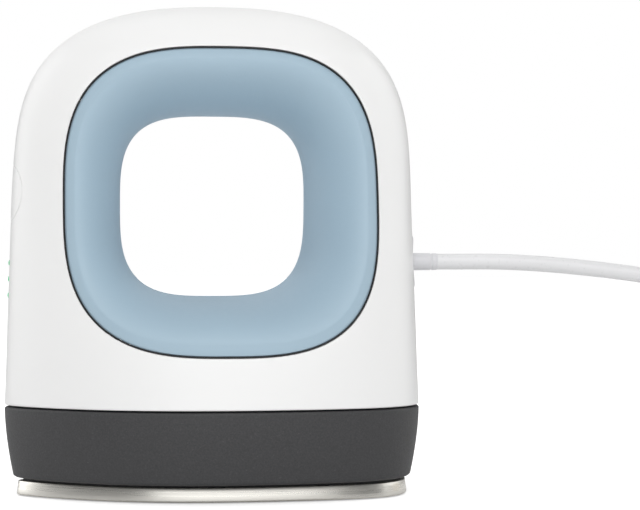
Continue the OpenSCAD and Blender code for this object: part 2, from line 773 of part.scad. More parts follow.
// ---- leads inside ----
mains_lead_d = 1.3;
module mains_leads() {
    color("saddlebrown")
    for (side = [-1, 1])
        tube(smooth([[cord_tail_end, side * 0.78, cord_height], [cord_tail_end - 1.6, side * 0.85, cord_height - 0.6],
            [24.4, side * 1.2, cord_height - 3.6], [24.4, side * 1.8, 38], [26.2, side * 2.3, 30],
            [27.2, side * 2.5, 25], [26, side * 2.5, pcb_top + 3.4], [22.3, side * 2.5, pcb_top + 3]], 3), mains_lead_d);
}
module heater_leads() {
    rise = clamp_top_face + fuse_d / 2;
    color("ghostwhite")
    for (side = [-1, 1])
        tube(smooth([[side * 6.7, -sensor_y, rise], [side * 7.3, -sensor_y, rise + 0.2],
            [side * 7.7, -sensor_y, rise + 1.4], [side * 7.7, -sensor_y, pcb_low - 0.1]], 3), 1);
}
module sensor_leads() {
    rise = clamp_top_face + 1.1;
    color("ghostwhite")
    for (side = [-1, 1])
        tube(smooth([[-4.65, sensor_y + side * 0.5, rise], [-5.5, sensor_y + side * 0.52, rise + 0.3],
            [-5.9, sensor_y + side * 0.54, rise + 1.4], [-5.9, sensor_y + side * 0.56, pcb_low - 0.1]], 3), 0.8);
}
ribbon_wires = [-1.3, 0, 1.3];
ribbon_z = board_low + 4.4;
ribbon_x = board_x[0] + 2.2;
module button_ribbon() {
    back = board_face + board_thick;
    color("lightgray")
    for (y = ribbon_wires)
        tube(smooth([[back + 0.12, y, ribbon_z], [back + 1.5, y, ribbon_z - 0.3], [back + 3, y, ribbon_z - 2],
            [ribbon_x - 0.8, y, ribbon_z - 9], [ribbon_x, y, pcb_top + 5], [ribbon_x, y, pcb_top]], 3), 1);
}

// ---- cord outside: a free stretch down to the surface, then a neat coil with the plug beside it ----
coil_x = 186;
coil_inner = 13.6;
coil_pitch = 3.9;
coil_layers = 4;
coil_turns = 12.5;
coil_rise = 3.9;
coil_rings = 24;
tie_thick = 0.5;
coil_floor = cord_r + tie_thick;
layer_turns = coil_turns / coil_layers;
coil_outer = coil_inner + coil_pitch * layer_turns;
function coil_step(x) = let (k = min(1, max(0, x))) k * k * (3 - 2 * k);
// Radius and height after a number of turns: in, out, in, out, with a climb in the half turn round each reversal.
function coil_radius(u) = let (l = u / layer_turns, k = l - 2 * floor(l / 2))
    blend(coil_outer, coil_inner, k <= 1 ? k : 2 - k);
function coil_height(u) = coil_floor + coil_rise * (
    coil_step((u - layer_turns) * 2 + 0.5) + coil_step((u - 2 * layer_turns) * 2 + 0.5)
    + coil_step((u - 3 * layer_turns) * 2 + 0.5));
function coil_point(u) = let (t = 360 * u - 90)
    [coil_x + coil_radius(u) * cos(t), coil_radius(u) * sin(t), coil_height(u)];
coil_body = [for (i = [0 : coil_turns * coil_rings]) coil_point(i / coil_rings)];
coil_count = len(coil_body);
in_way = (coil_body[1] - coil_body[0]) / norm(coil_body[1] - coil_body[0]);
out_way = (coil_body[coil_count - 1] - coil_body[coil_count - 2])
    / norm(coil_body[coil_count - 1] - coil_body[coil_count - 2]);
coil_start = coil_body[0] - cord_diameter * in_way;
coil_end = coil_body[coil_count - 1] + cord_diameter * out_way;
coil_path = concat([coil_start], coil_body, [coil_end]);
function path_length(p) = len(p) < 2 ? 0 : sum_of([for (i = [1 : len(p) - 1]) norm(p[i] - p[i - 1])]);
function sum_of(v) = [for (x = v) 1] * v;
least_gap = min([for (i = [0 : 2 : coil_count - 1]) for (j = [i + 14 : coil_count - 1])
    norm(coil_body[i] - coil_body[j])]) - cord_diameter;

cord_start = [boot_end, 0, cord_height];
free_points = [cord_start, cord_start + [cord_diameter, 0, 0], [61, 0, 49], [69, 0, 48.7], [78, -0.2, 48],
    [87, -0.7, 47], [96, -1.3, 45.6], [105, -2.4, 42.6], [114, -4, 37], [123, -6.5, 29.2], [132, -10, 20.4],
    [141, -14.4, 12], [151, -19, 6], [162, -23, 3.1], [173, -25.3, 2.3], coil_start - cord_diameter * in_way,
    coil_start];
plug_face = [150.4, 26.4, 7.6];
plug_way = [-1, 0, 0];
lead_points = [coil_end, coil_end + cord_diameter * out_way, [174, 26.2, 12.8], [166, 26.4, 10.2],
    [159, 26.4, 8.2], plug_face - cord_diameter * plug_way, plug_face];

module power_cord() {
    echo(cord_length = path_length(free_points) + path_length(coil_path) + path_length(lead_points));
    color("white")
    tube(smooth(free_points, 4), cord_diameter, 8);
}
module cord_coil() {
    echo(coil_least_gap = least_gap, coil_length = path_length(coil_path));
    color("white")
    tube(coil_path, cord_diameter, 6);
}
module plug_cord() {
    color("white")
    tube(smooth(lead_points, 4), cord_diameter, 8);
}
tie_half = 3;
module coil_tie() {
    reach = [coil_inner - cord_r - 0.5, coil_outer + cord_r + 0.5];
    top = coil_floor + (coil_layers - 1) * coil_rise + cord_r + 0.3;
    color("black")
    difference() {
        box([coil_x + reach[0] - tie_thick, coil_x + reach[1] + tie_thick], [-tie_half, tie_half], [0, top + tie_thick]);
        box([coil_x + reach[0], coil_x + reach[1]], [-tie_half - 1, tie_half + 1], [tie_thick - fit, top]);
    }
}

// ---- plug: a moulded body lying flat, with two flat blades ----
plug_length = 27;
plug_half_y = 12.4;
plug_half_z = 7.6;
plug_rows = [[0, 0.14, 0.24], [0.04, 0.2, 0.33], [0.26, 0.27, 0.45], [0.34, 0.5, 0.72], [0.44, 0.8, 0.92],
    [0.62, 0.97, 1], [0.86, 1, 1], [0.97, 0.97, 0.96], [1, 0.9, 0.88]];
plug_power = 3;
plug_points = 24;
function plug_ring(r) = [for (j = [0 : plug_points - 1])
    let (t = 360 * j / plug_points, c = cos(t), s = sin(t), k = pow(pow(abs(c), plug_power) + pow(abs(s), plug_power),
        -1 / plug_power))
    [plug_face.x - r[0] * plug_length, plug_face.y + plug_half_y * r[1] * k * c, plug_face.z + plug_half_z * r[2] * k * s]];
blade_pitch = 12.7;
blade = [17, 1.5, 6.35];
module plug_body() {
    color("white")
    difference() {
        ring_solid([for (i = [len(plug_rows) - 1 : -1 : 0]) plug_ring(plug_rows[i])], true);
        plug_slots(fit);
    }
}
module plug_slots(grow) {
    for (side = [-1, 1])
        translate([plug_face.x - plug_length - blade.x / 2 + 2.5 + grow / 2, plug_face.y + side * blade_pitch / 2,
            plug_face.z])
            cube([blade.x + 5 + grow, blade.y + 2 * grow, blade.z + 2 * grow], center = true);
}
module plug_blades() {
    color("gold")
    difference() {
        plug_slots(0);
        for (side = [-1, 1])
            translate([plug_face.x - plug_length - blade.x + 3, plug_face.y + side * blade_pitch / 2 - 3, plug_face.z])
                rotate([-90, 0, 0])
                    cylinder(h = 6, d = 3.2, $fn = 32);
    }
}

outer_shell();
front_grip();
rear_grip();
front_grip_seal();
rear_grip_seal();
base_skirt();
plate_gasket();
heat_plate();
heating_element();
mica_sheet();
clamp_plate();
plate_screws();
insulation_pad();
heat_shield();
shield_screws();
thermal_fuse();
thermistor();
board_standoffs();
control_board();
board_screws();
relay();
transformer();
film_capacitor();
electrolytic_capacitor();
board_fuse();
mains_terminal();
controller_chip();
button_board();
tact_switch();
switch_plunger();
power_button();
indicator_leds();
light_pipe();
cord_bushing();
cord_tail();
cord_clamp();
clamp_screws();
mains_leads();
heater_leads();
sensor_leads();
button_ribbon();
power_cord();
cord_coil();
coil_tie();
plug_cord();
plug_body();
plug_blades();
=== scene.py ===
"""Looks of the mini handheld heat press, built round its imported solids.

Sizes are in millimetres until a mesh is made.
"""

import logging
import math
from dataclasses import dataclass, field
from enum import Enum
from typing import Sequence

import bmesh
import bpy
import numpy as np
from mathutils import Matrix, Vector

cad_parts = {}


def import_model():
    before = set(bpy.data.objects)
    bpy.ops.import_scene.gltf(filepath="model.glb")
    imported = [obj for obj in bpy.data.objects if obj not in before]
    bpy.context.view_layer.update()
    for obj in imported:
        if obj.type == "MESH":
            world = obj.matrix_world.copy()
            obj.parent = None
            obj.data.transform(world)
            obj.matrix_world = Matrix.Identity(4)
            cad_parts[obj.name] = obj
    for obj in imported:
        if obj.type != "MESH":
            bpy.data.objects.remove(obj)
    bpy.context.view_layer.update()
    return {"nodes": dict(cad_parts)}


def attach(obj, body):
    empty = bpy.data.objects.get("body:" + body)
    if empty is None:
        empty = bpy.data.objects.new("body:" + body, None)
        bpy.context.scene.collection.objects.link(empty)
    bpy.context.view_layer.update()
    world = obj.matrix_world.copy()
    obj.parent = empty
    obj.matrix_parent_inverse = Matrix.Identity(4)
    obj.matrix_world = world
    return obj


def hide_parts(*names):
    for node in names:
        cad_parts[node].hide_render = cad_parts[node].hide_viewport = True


LOG = logging.getLogger("heat_press")
Array = np.ndarray
Socket = bpy.types.NodeSocket
Pair = tuple[float, float]
Triple = tuple[float, float, float]
Profile = Sequence[Sequence[float]]
MM = 0.001
MERGE_DISTANCE = 1e-7
HALVINGS = 50
NOISE_RANGE = (0.3, 0.7)
MIX_COLOURS, MIX_RESULT = (6, 7), 2


class Ends(Enum):
    """How a swept skin ends: capped at both ends, or joined to its own start."""

    CAPPED = "capped"
    JOINED = "joined"


# Meshes


def full_turn(steps: int) -> Array:
    """Evenly spaced angles once round, in radians."""
    return np.linspace(0, 2 * np.pi, steps, endpoint=False)


def beside(*parts: Array | float) -> Array:
    """Arrays or numbers set side by side, along a new last axis, such as x, y and z into points."""
    return np.stack(np.broadcast_arrays(*parts), -1)


def ring_faces(rings: int, columns: int, joined: bool = False) -> Array:
    """Quads between closed rings of points that are numbered ring by ring.

    Args:
        rings: number of rings.
        columns: points in a ring.
        joined: whether the last ring joins the first.
    Returns:
        Four point numbers a line.
    """
    i = np.arange(rings if joined else rings - 1)[:, None]
    j = np.arange(columns)[None, :]
    i_next, j_next = (i + 1) % rings, (j + 1) % columns
    i, i_next = i * columns, i_next * columns
    return beside(i + j, i + j_next, i_next + j_next, i_next + j).reshape(-1, 4)


def linked(name: str, data: bpy.types.ID) -> bpy.types.Object:
    """A new object in the scene that shows the data.

    Args:
        name: the object's name.
        data: what it shows.
    Returns:
        The object.
    """
    obj = bpy.data.objects.new(name, data)
    bpy.context.scene.collection.objects.link(obj)
    return obj


def mend(mesh: bpy.types.Mesh, merge: bool = False) -> None:
    """Joins the points of a mesh that lie together, or else turns all its faces outwards.

    Args:
        mesh: the mesh.
        merge: whether to join points.
    """
    work = bmesh.new()
    work.from_mesh(mesh)
    if merge:
        bmesh.ops.remove_doubles(work, verts=work.verts, dist=MERGE_DISTANCE)
    else:
        bmesh.ops.recalc_face_normals(work, faces=work.faces)
    work.to_mesh(mesh)
    work.free()


def smooth(mesh: bpy.types.Mesh, sharp: float) -> None:
    """Shades a mesh smooth, but for edges sharper than an angle in degrees."""
    mesh.shade_smooth()
    mesh.set_sharp_from_angle(angle=math.radians(sharp))


@dataclass
class MeshData:
    """Points in millimetres with their faces, collected before a piece is made."""

    points: list[Array] = field(default_factory=list)
    faces: list[list[int]] = field(default_factory=list)
    count: int = 0

    def add(self, points: Array, faces: Array) -> None:
        """Adds points, and faces that number them from nought.

        Args:
            points: the points, in millimetres.
            faces: point numbers of each face.
        """
        self.faces += (faces + self.count).tolist()
        self.points.append(points.reshape(-1, 3))
        self.count += len(self.points[-1])

    def add_skin(self, rings: Array | Sequence[Array], ends: Ends) -> "MeshData":
        """Adds the skin that runs through rings of points.

        Args:
            rings: points by ring and by place in the ring.
            ends: how the skin ends.
        Returns:
            The same data, so that a call can follow on.
        """
        rings = np.asarray(rings)
        count, columns, _ = rings.shape
        first = np.arange(columns) + self.count
        self.add(rings, ring_faces(count, columns, ends is Ends.JOINED))
        if ends is Ends.CAPPED:
            self.faces += [first[::-1].tolist(), (first + (count - 1) * columns).tolist()]
        return self

    def mesh(self, name: str) -> bpy.types.Mesh:
        """The mesh, in metres.

        Args:
            name: the mesh's name.
        Returns:
            The mesh.
        """
        mesh = bpy.data.meshes.new(name)
        mesh.from_pydata(np.concatenate(self.points) * MM, [], self.faces)
        return mesh

    def piece(self, name: str, slot: str, replaces: Sequence[str], *finishes: "Finish", body: str = "press",
              sharp: float = 35.0, turn: bool = True) -> bpy.types.Object:
        """Args:
            name: the piece's name.
            slot: a name for the material slot; not used.
            replaces: the nodes that it stands for.
            finishes: finishes of its material slots.
            body: the body that it rides on.
            sharp: angle in degrees past which an edge stays sharp.
            turn: whether to turn all faces outwards.
        Returns:
            The object.
        """
        mesh = self.mesh(name)
        for finish in finishes:
            mesh.materials.append(finish.material())
        if turn:
            mend(mesh)
        smooth(mesh, sharp)
        obj = linked(name, mesh)
        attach(obj, body)
        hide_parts(*replaces)
        LOG.info("piece %s rides on %s", name, body)
        return obj


def smooth_way(points: Profile, steps: int) -> Array:
    """A way through points by the cubic that the solids use, each stretch half of a cubic in its share k.

    Args:
        points: the points, in millimetres.
        steps: pieces that each stretch is cut into.
    Returns:
        The way's points.
    """
    p = np.asarray(points, float)
    n = len(p) - 1
    out = []
    for i in range(n):
        a, b, c, d = p[max(0, i - 1)], p[i], p[i + 1], p[min(n, i + 2)]
        k = (np.arange(steps) / steps)[:, None]
        out.append(0.5 * (2 * b + (c - a) * k + (2 * a - 5 * b + 4 * c - d) * k**2
                          + (3 * b - a - 3 * c + d) * k**3))
    return np.concatenate(out + [p[-1:]])


def tube_rings(way: Array, radius: float, sides: int) -> Array:
    """Rings of a tube along a way, each square to it, carried on without twist.

    Args:
        way: points of the middle line.
        radius: the tube's radius.
        sides: points in a ring.
    Returns:
        The rings.
    """
    ahead = np.gradient(way, axis=0)
    ahead /= np.linalg.norm(ahead, axis=1, keepdims=True)
    side = np.empty_like(ahead)
    start = np.cross(ahead[0], (0, 0, 1.0))
    side[0] = start / np.linalg.norm(start)
    for i in range(1, len(way)):
        s = side[i - 1] - ahead[i] * (side[i - 1] @ ahead[i])
        side[i] = s / np.linalg.norm(s)
    up = np.cross(ahead, side)
    t = full_turn(sides)[None, :, None]
    return way[:, None] + radius * (np.cos(t) * side[:, None] + np.sin(t) * up[:, None])


def turned(profile: Profile, sides: int, height: float) -> Array:
    """Rings of a shape turned round an axis along X.

    Args:
        profile: [radius, x] pairs.
        sides: points in a ring.
        height: z of the axis.
    Returns:
        The rings.
    """
    radius, x = np.asarray(profile, float).T[..., None]
    t = full_turn(sides)
    return beside(x, radius * np.cos(t), height + radius * np.sin(t))


def oval(w: float, h: float, power: float, t: Array) -> Array:
    """A superellipse: the point (w/2 cos t, h/2 sin t) scaled until its powers add up to one.

    Args:
        w: its width.
        h: its height.
        power: the power, two for an ellipse.
        t: angles.
    Returns:
        The points.
    """
    c, s = np.cos(t), np.sin(t)
    r = (np.abs(c) ** power + np.abs(s) ** power) ** (-1 / power)
    return beside(w / 2 * r * c, h / 2 * r * s)


# Finishes


class NodeSheet:
    """The nodes of a material or of the world, with short ways to add and join them."""

    def __init__(self, owner: bpy.types.ID, shader: str = "Principled BSDF") -> None:
        """Starts the owner's nodes with its shader.

        Args:
            owner: the material or world.
            shader: the name of its shader's node.
        """
        owner.use_nodes = True
        self.tree = owner.node_tree
        self.shader = self.tree.nodes[shader]

    def put(self, socket: Socket, value: object) -> None:
        """Gives a socket a value, or joins it to another socket.

        Args:
            socket: the socket.
            value: the value, or the socket that gives it.
        """
        if isinstance(value, Socket):
            self.tree.links.new(value, socket)
        else:
            socket.default_value = value

    def set(self, node: bpy.types.Node | None = None, **inputs: object) -> bpy.types.Node:
        """Sets inputs of a node, or else of the shader, with their spaces written as underscores.

        Args:
            node: the node, or None for the shader.
            inputs: values or sockets by name.
        Returns:
            The node.
        """
        node = node or self.shader
        for key, value in inputs.items():
            self.put(node.inputs[key.replace("_", " ")], value)
        return node

    def add(self, kind: str, **inputs: object) -> bpy.types.Node:
        """Adds a node of one of Blender's types, with values or sockets for its inputs."""
        return self.set(self.tree.nodes.new(kind), **inputs)

    def camera_ray(self) -> Socket:
        """One for what the camera sees itself, and nought for light and reflections."""
        return self.add("ShaderNodeLightPath").outputs["Is Camera Ray"]

    def place(self, scale: Sequence[float] = (1, 1, 1)) -> Socket:
        """Object coordinates in millimetres, stretched by a scale for each axis."""
        where = self.add("ShaderNodeTexCoord").outputs["Object"]
        return self.add("ShaderNodeMapping", Vector=where, Scale=[s / MM for s in scale]).outputs["Vector"]

    def noise(self, size: float, detail: float = 2.0, scale: Sequence[float] = (1, 1, 1)) -> Socket:
        """Noise whose lumps are about size millimetres wide, from nought to one."""
        node = self.add("ShaderNodeTexNoise", Vector=self.place(scale), Scale=1.0 / size, Detail=detail)
        return node.outputs["Fac"]

    def ramp(self, value: Socket, low: float, high: float, to_low: float, to_high: float | Socket) -> Socket:
        """Maps a value from one range to another, clamped."""
        ends = {"From_Min": low, "From_Max": high, "To_Min": to_low, "To_Max": to_high}
        return self.add("ShaderNodeMapRange", Value=value, **ends).outputs["Result"]

    def blend(self, factor: Socket, first: object, second: object) -> Socket:
        """Mixes two colours, or the sockets that give them, by a factor.

        Args:
            factor: nought for the first, one for the second.
            first: a colour.
            second: a colour.
        Returns:
            The mix's socket.
        """
        node = self.tree.nodes.new("ShaderNodeMix")
        node.data_type = "RGBA"
        self.put(node.inputs["Factor"], factor)
        for index, colour in zip(MIX_COLOURS, (first, second)):
            self.put(node.inputs[index], colour)
        return node.outputs[MIX_RESULT]

    def bump(self, height: Socket, depth: float, strength: float = 1.0, under: Socket | None = None) -> Socket:
        """A bump of so many millimetres, over another where one is given.

        Args:
            height: where the heights come from.
            depth: millimetres at a height of one.
            strength: how much of it shows.
            under: the normal of the bump below.
        Returns:
            The normal's socket.
        """
        node = self.add("ShaderNodeBump", Height=height, Strength=strength, Distance=depth * MM)
        if under is not None:
            self.put(node.inputs["Normal"], under)
        return node.outputs["Normal"]


def shade(colour: Sequence[float], factor: float = 1.0) -> tuple[float, ...]:
    """A colour made lighter or darker by a factor, with full opacity."""
    return (*(min(1.0, c * factor) for c in colour), 1.0)


@dataclass(frozen=True)
class Finish:
    """A finish: a colour with slight variation, gloss that varies with it, and a fine grain."""

    name: str
    colour: Triple
    roughness: float = 0.4
    variation: float = 0.03
    metallic: float = 0.0
    grain: float = 0.4
    depth: float = 0.01
    spread: float = 0.06
    specular: float = 0.5
    patch: float = 12.0

    def material(self) -> bpy.types.Material:
        """The finish's material, made once.

        Returns:
            The material.
        """
        known = bpy.data.materials.get(self.name)
        if known:
            return known
        material = bpy.data.materials.new(self.name)
        sheet = NodeSheet(material)
        sheet.set(Metallic=self.metallic, Specular_IOR_Level=self.specular)
        self.colours(sheet)
        self.surface(sheet)
        return material

    def gloss(self, sheet: NodeSheet, noise: Socket) -> Socket:
        """The finish's roughness, which noise moves up and down by its spread."""
        return sheet.ramp(noise, *NOISE_RANGE, self.roughness - self.spread, self.roughness + self.spread)

    def colours(self, sheet: NodeSheet) -> None:
        """Broad soft patches a little lighter and darker than the finish."""
        darker, lighter = (shade(self.colour, 1 + v) for v in (-self.variation, self.variation))
        sheet.set(Base_Color=sheet.blend(sheet.noise(self.patch, 3.0), darker, lighter))

    def surface(self, sheet: NodeSheet) -> None:
        """Fine noise moves the roughness and lifts the surface."""
        fine = sheet.noise(self.grain, 2.0)
        sheet.set(Roughness=self.gloss(sheet, fine), Normal=sheet.bump(fine, self.depth))


@dataclass(frozen=True)
class GlossShell(Finish):
    """Moulded gloss plastic: faint broad waves of the moulding under a very fine ripple."""

    spread: float = 0.02
    wave: float = 30.0
    wave_depth: float = 0.01

    def surface(self, sheet: NodeSheet) -> None:
        """Two bumps, one broad and very shallow, one fine, with gloss that smears slightly.

        Args:
            sheet: the material's nodes.
        """
        broad = sheet.noise(self.wave, 1.0)
        fine = sheet.noise(self.grain, 1.0)
        under = sheet.bump(broad, self.wave_depth, 0.3)
        sheet.set(Roughness=self.gloss(sheet, broad), Normal=sheet.bump(fine, self.depth, 0.4, under))


@dataclass(frozen=True)
class SoftTouch(Finish):
    """Soft-touch grip plastic: dense tiny pores and a faint sheen."""

    spread: float = 0.05
    pore_scale: float = 3.2
    pore_depth: float = 0.012
    lump: float = 1.1
    lump_depth: float = 0.03
    sheen: float = 0.12

    def surface(self, sheet: NodeSheet) -> None:
        """Pores from a cell pattern at a third of a millimetre, with a soft noise under them.

        Args:
            sheet: the material's nodes.
        """
        pores = sheet.add("ShaderNodeTexVoronoi", Vector=sheet.place(), Scale=self.pore_scale).outputs["Distance"]
        soft = sheet.noise(self.lump, 3.0)
        under = sheet.bump(soft, self.lump_depth, 0.5)
        sheet.set(Roughness=self.gloss(sheet, soft), Normal=sheet.bump(pores, self.pore_depth, 0.6, under),
                  Sheen_Weight=self.sheen, Sheen_Roughness=0.4)


@dataclass(frozen=True)
class TexturedSkirt(Finish):
    """Spark-eroded heat-proof plastic: a fine sandy texture, with small glints painted into its colour as
    highlights.
    """

    spread: float = 0.08
    speck: float = 0.35
    # Size of the painted highlight glints, in millimetres.
    painted_glint_size: float = 0.5
    sand: Pair = (0.7, 0.25)
    sand_depths: Pair = (0.05, 0.03)

    def colours(self, sheet: NodeSheet) -> None:
        """Speckles: a fine grain of slightly paler tone here and there, with rare brighter spots that are painted
        highlights.

        Args:
            sheet: the material's nodes.
        """
        grain = sheet.noise(self.speck, 4.0)
        # Glints: rare spots at twice the colour, a painted highlight.
        painted_glints = sheet.noise(self.painted_glint_size, 1.0)
        base = sheet.blend(sheet.ramp(grain, 0.35, 0.7, 0, 1), shade(self.colour, 0.88), shade(self.colour, 1.15))
        sheet.set(Base_Color=sheet.blend(sheet.ramp(painted_glints, 0.69, 0.76, 0, 0.35), base, shade(self.colour, 2.0)))

    def surface(self, sheet: NodeSheet) -> None:
        """Sandy bumps of two sizes.

        Args:
            sheet: the material's nodes.
        """
        coarse = sheet.noise(self.sand[0], 3.0)
        fine = sheet.noise(self.sand[1], 2.0)
        under = sheet.bump(coarse, self.sand_depths[0], 0.5)
        sheet.set(Roughness=self.gloss(sheet, fine), Normal=sheet.bump(fine, self.sand_depths[1], 0.5, under))


@dataclass(frozen=True)
class BrushedMetal(Finish):
    """Brushed metal: long fine lines along the brushing, with slight staining."""

    metallic: float = 1.0
    stretch: Triple = (0.03, 0.03, 6.0)
    line_depth: float = 0.012
    duller: float = 0.1
    glossier: float = 0.08

    def surface(self, sheet: NodeSheet) -> None:
        """Lines from noise stretched along the brushing, which move gloss and height.

        Args:
            sheet: the material's nodes.
        """
        lines = sheet.noise(1.0, 3.0, self.stretch)
        gloss = sheet.ramp(lines, 0.25, 0.75, self.roughness - self.glossier, self.roughness + self.duller)
        sheet.set(Roughness=gloss, Normal=sheet.bump(lines, self.line_depth, 0.7), Anisotropic=0.3)


@dataclass(frozen=True)
class Glow(Finish):
    """A lit lens: coloured plastic that glows evenly."""

    strength: float = 1.0

    def surface(self, sheet: NodeSheet) -> None:
        """Smooth lens with a steady glow.

        Args:
            sheet: the material's nodes.
        """
        fine = sheet.noise(self.grain, 1.0)
        sheet.set(Roughness=self.roughness, Normal=sheet.bump(fine, 0.004), Emission_Color=shade(self.colour),
                  Emission_Strength=self.strength)


@dataclass(frozen=True)
class CircuitLaminate(Finish):
    """Green lacquered laminate with paler copper tracks under it."""

    cell_scale: float = 0.4
    track_edge: Pair = (0.3, 0.34)

    def colours(self, sheet: NodeSheet) -> None:
        """Tracks: straight-edged cells a couple of millimetres wide, some of them copper.

        Args:
            sheet: the material's nodes.
        """
        cells = sheet.add("ShaderNodeTexVoronoi", Vector=sheet.place((1, 1, 0.01)), Scale=self.cell_scale)
        cells.distance = "CHEBYCHEV"
        tracks = sheet.ramp(cells.outputs["Distance"], *self.track_edge, 0, 1)
        sheet.set(Base_Color=sheet.blend(tracks, shade(self.colour), shade(self.colour, 1.8)))


@dataclass(frozen=True)
class FibreFelt(Finish):
    """Needled ceramic fibre: short crossing hairs and soft lumps."""

    lump: float = 3.0
    lump_depth: float = 0.3
    hair: float = 0.5
    hair_depth: float = 0.1

    def surface(self, sheet: NodeSheet) -> None:
        """Hairs from two noises stretched across each other, over soft lumps.

        Args:
            sheet: the material's nodes.
        """
        lumps = sheet.noise(self.lump, 3.0)
        along = sheet.noise(self.hair, 2.0, (0.15, 1, 1))
        across = sheet.noise(self.hair, 2.0, (1, 0.15, 1))
        under = sheet.bump(along, self.hair_depth, 0.6, sheet.bump(lumps, self.lump_depth, 0.7))
        sheet.set(Roughness=self.roughness, Normal=sheet.bump(across, self.hair_depth, 0.6, under), Sheen_Weight=0.3)


WHITE = GlossShell("white_shell_plastic", (0.885, 0.885, 0.88), 0.38, 0.003, grain=0.5, depth=0.002, patch=40)
BLUE = SoftTouch("blue_soft_grip", (0.39, 0.52, 0.615), 0.5, 0.015, patch=25, specular=0.35)
# Near-black rubber for the cord's strap; on the rings round the grips the same black is painted shade for the gap at
# the window's rim.
STRAP_RUBBER_AND_GAP_SHADE = Finish("strap_rubber_and_gap_shade", (0.008, 0.009, 0.012), 0.5, grain=0.3)
SKIRT = TexturedSkirt("dark_skirt_plastic", (0.051, 0.051, 0.053), 0.58, specular=0.35)
ALUMINIUM = BrushedMetal("brushed_plate_metal", (0.84, 0.82, 0.765), 0.3, 0.02)
SOLE = Finish("sole_coating", (0.055, 0.055, 0.058), 0.42, 0.1, grain=0.35, depth=0.008)
GASKET = Finish("gasket_silicone", (0.03, 0.03, 0.032), 0.6, grain=0.5, depth=0.02)
STEEL = BrushedMetal("plated_steel", (0.62, 0.62, 0.63), 0.28, 0.05, stretch=(0.2, 4.0, 4.0))
BRASS = BrushedMetal("turned_brass", (0.72, 0.55, 0.27), 0.3, 0.06, stretch=(2.0, 2.0, 4.0))
LENS = Glow("green_lens", (0.11, 0.56, 0.27), 0.25, 0.05, strength=0.22)
BUSHING = Finish("bushing_vinyl", (0.69, 0.69, 0.71), 0.38, 0.01, depth=0.006)
CORD = Finish("cord_vinyl", (0.76, 0.76, 0.77), 0.32, 0.012, grain=0.8, depth=0.012)
LAMINATE = CircuitLaminate("circuit_laminate", (0.02, 0.16, 0.06), 0.35)
FELT = FibreFelt("fibre_felt", (0.82, 0.8, 0.75), 0.9, 0.05)
NODE_FINISHES: dict[str, Finish] = {
    **dict.fromkeys(("clamp_plate", "plate_screws", "heat_shield", "shield_screws", "board_screws", "board_fuse",
                     "clamp_screws"), STEEL),
    **dict.fromkeys(("thermal_fuse", "thermistor", "board_standoffs", "plug_blades"), BRASS),
    **dict.fromkeys(("control_board", "button_board"), LAMINATE),
    "insulation_pad": FELT, "cord_tail": CORD,
    "heating_element": Finish("heater_film", (0.38, 0.17, 0.04), 0.35, 0.12, grain=1.5, depth=0.02),
    "mica_sheet": Finish("mica_flake", (0.5, 0.42, 0.3), 0.3, 0.2, grain=1.2, depth=0.03, patch=4),
    "relay": Finish("relay_case", (0.04, 0.13, 0.38), 0.35, 0.04),
    "transformer": Finish("transformer_tape", (0.75, 0.6, 0.12), 0.4, 0.05),
    "film_capacitor": Finish("capacitor_epoxy", (0.62, 0.42, 0.06), 0.3, 0.05),
    "electrolytic_capacitor": Finish("capacitor_sleeve", (0.03, 0.035, 0.09), 0.25, 0.05),
    "mains_terminal": Finish("terminal_nylon", (0.04, 0.3, 0.12), 0.4, 0.04),
    "controller_chip": Finish("chip_epoxy", (0.02, 0.02, 0.022), 0.5, 0.1),
    "tact_switch": Finish("switch_nylon", (0.025, 0.025, 0.027), 0.45, 0.08),
    "switch_plunger": Finish("plunger_nylon", (0.55, 0.53, 0.48), 0.4, 0.04),
    "indicator_leds": Glow("led_chip", (0.3, 0.8, 0.45), 0.3, strength=0.4),
    "cord_clamp": Finish("clamp_nylon", (0.05, 0.05, 0.052), 0.5, 0.06),
    "mains_leads": Finish("mains_lead", (0.28, 0.12, 0.05), 0.35, 0.05),
    "heater_leads": Finish("heater_sleeve", (0.78, 0.77, 0.74), 0.6, 0.05),
    "sensor_leads": Finish("sensor_sleeve", (0.7, 0.1, 0.06), 0.4, 0.05),
    "button_ribbon": Finish("ribbon_vinyl", (0.5, 0.5, 0.52), 0.4, 0.04),
}


# The shape that the housing and base share


@dataclass(frozen=True)
class Outline:
    """A plan: an ellipse pinched towards -X and filled out towards +X."""

    pinch: float
    fill: float

    def fullness(self, c: Array, pinch: Array | float) -> Array:
        """How much fuller than an ellipse the plan is, by the cosine of its angle, for a pinch."""
        return 1 + c * c * ((1 + c) / 2 * self.fill - (1 - c) / 2 * pinch)

    def ring(self, a: float, b: float, z: float, sides: int) -> Array:
        """A ring of points at a height: x = a cos t, and y = b sin t times the fullness.

        Args:
            a: half the length.
            b: half the depth.
            z: the height.
            sides: points in the ring.
        Returns:
            The ring.
        """
        t = full_turn(sides)
        c = np.cos(t)
        return beside(a * c, b * np.sin(t) * self.fullness(c, self.pinch), z)


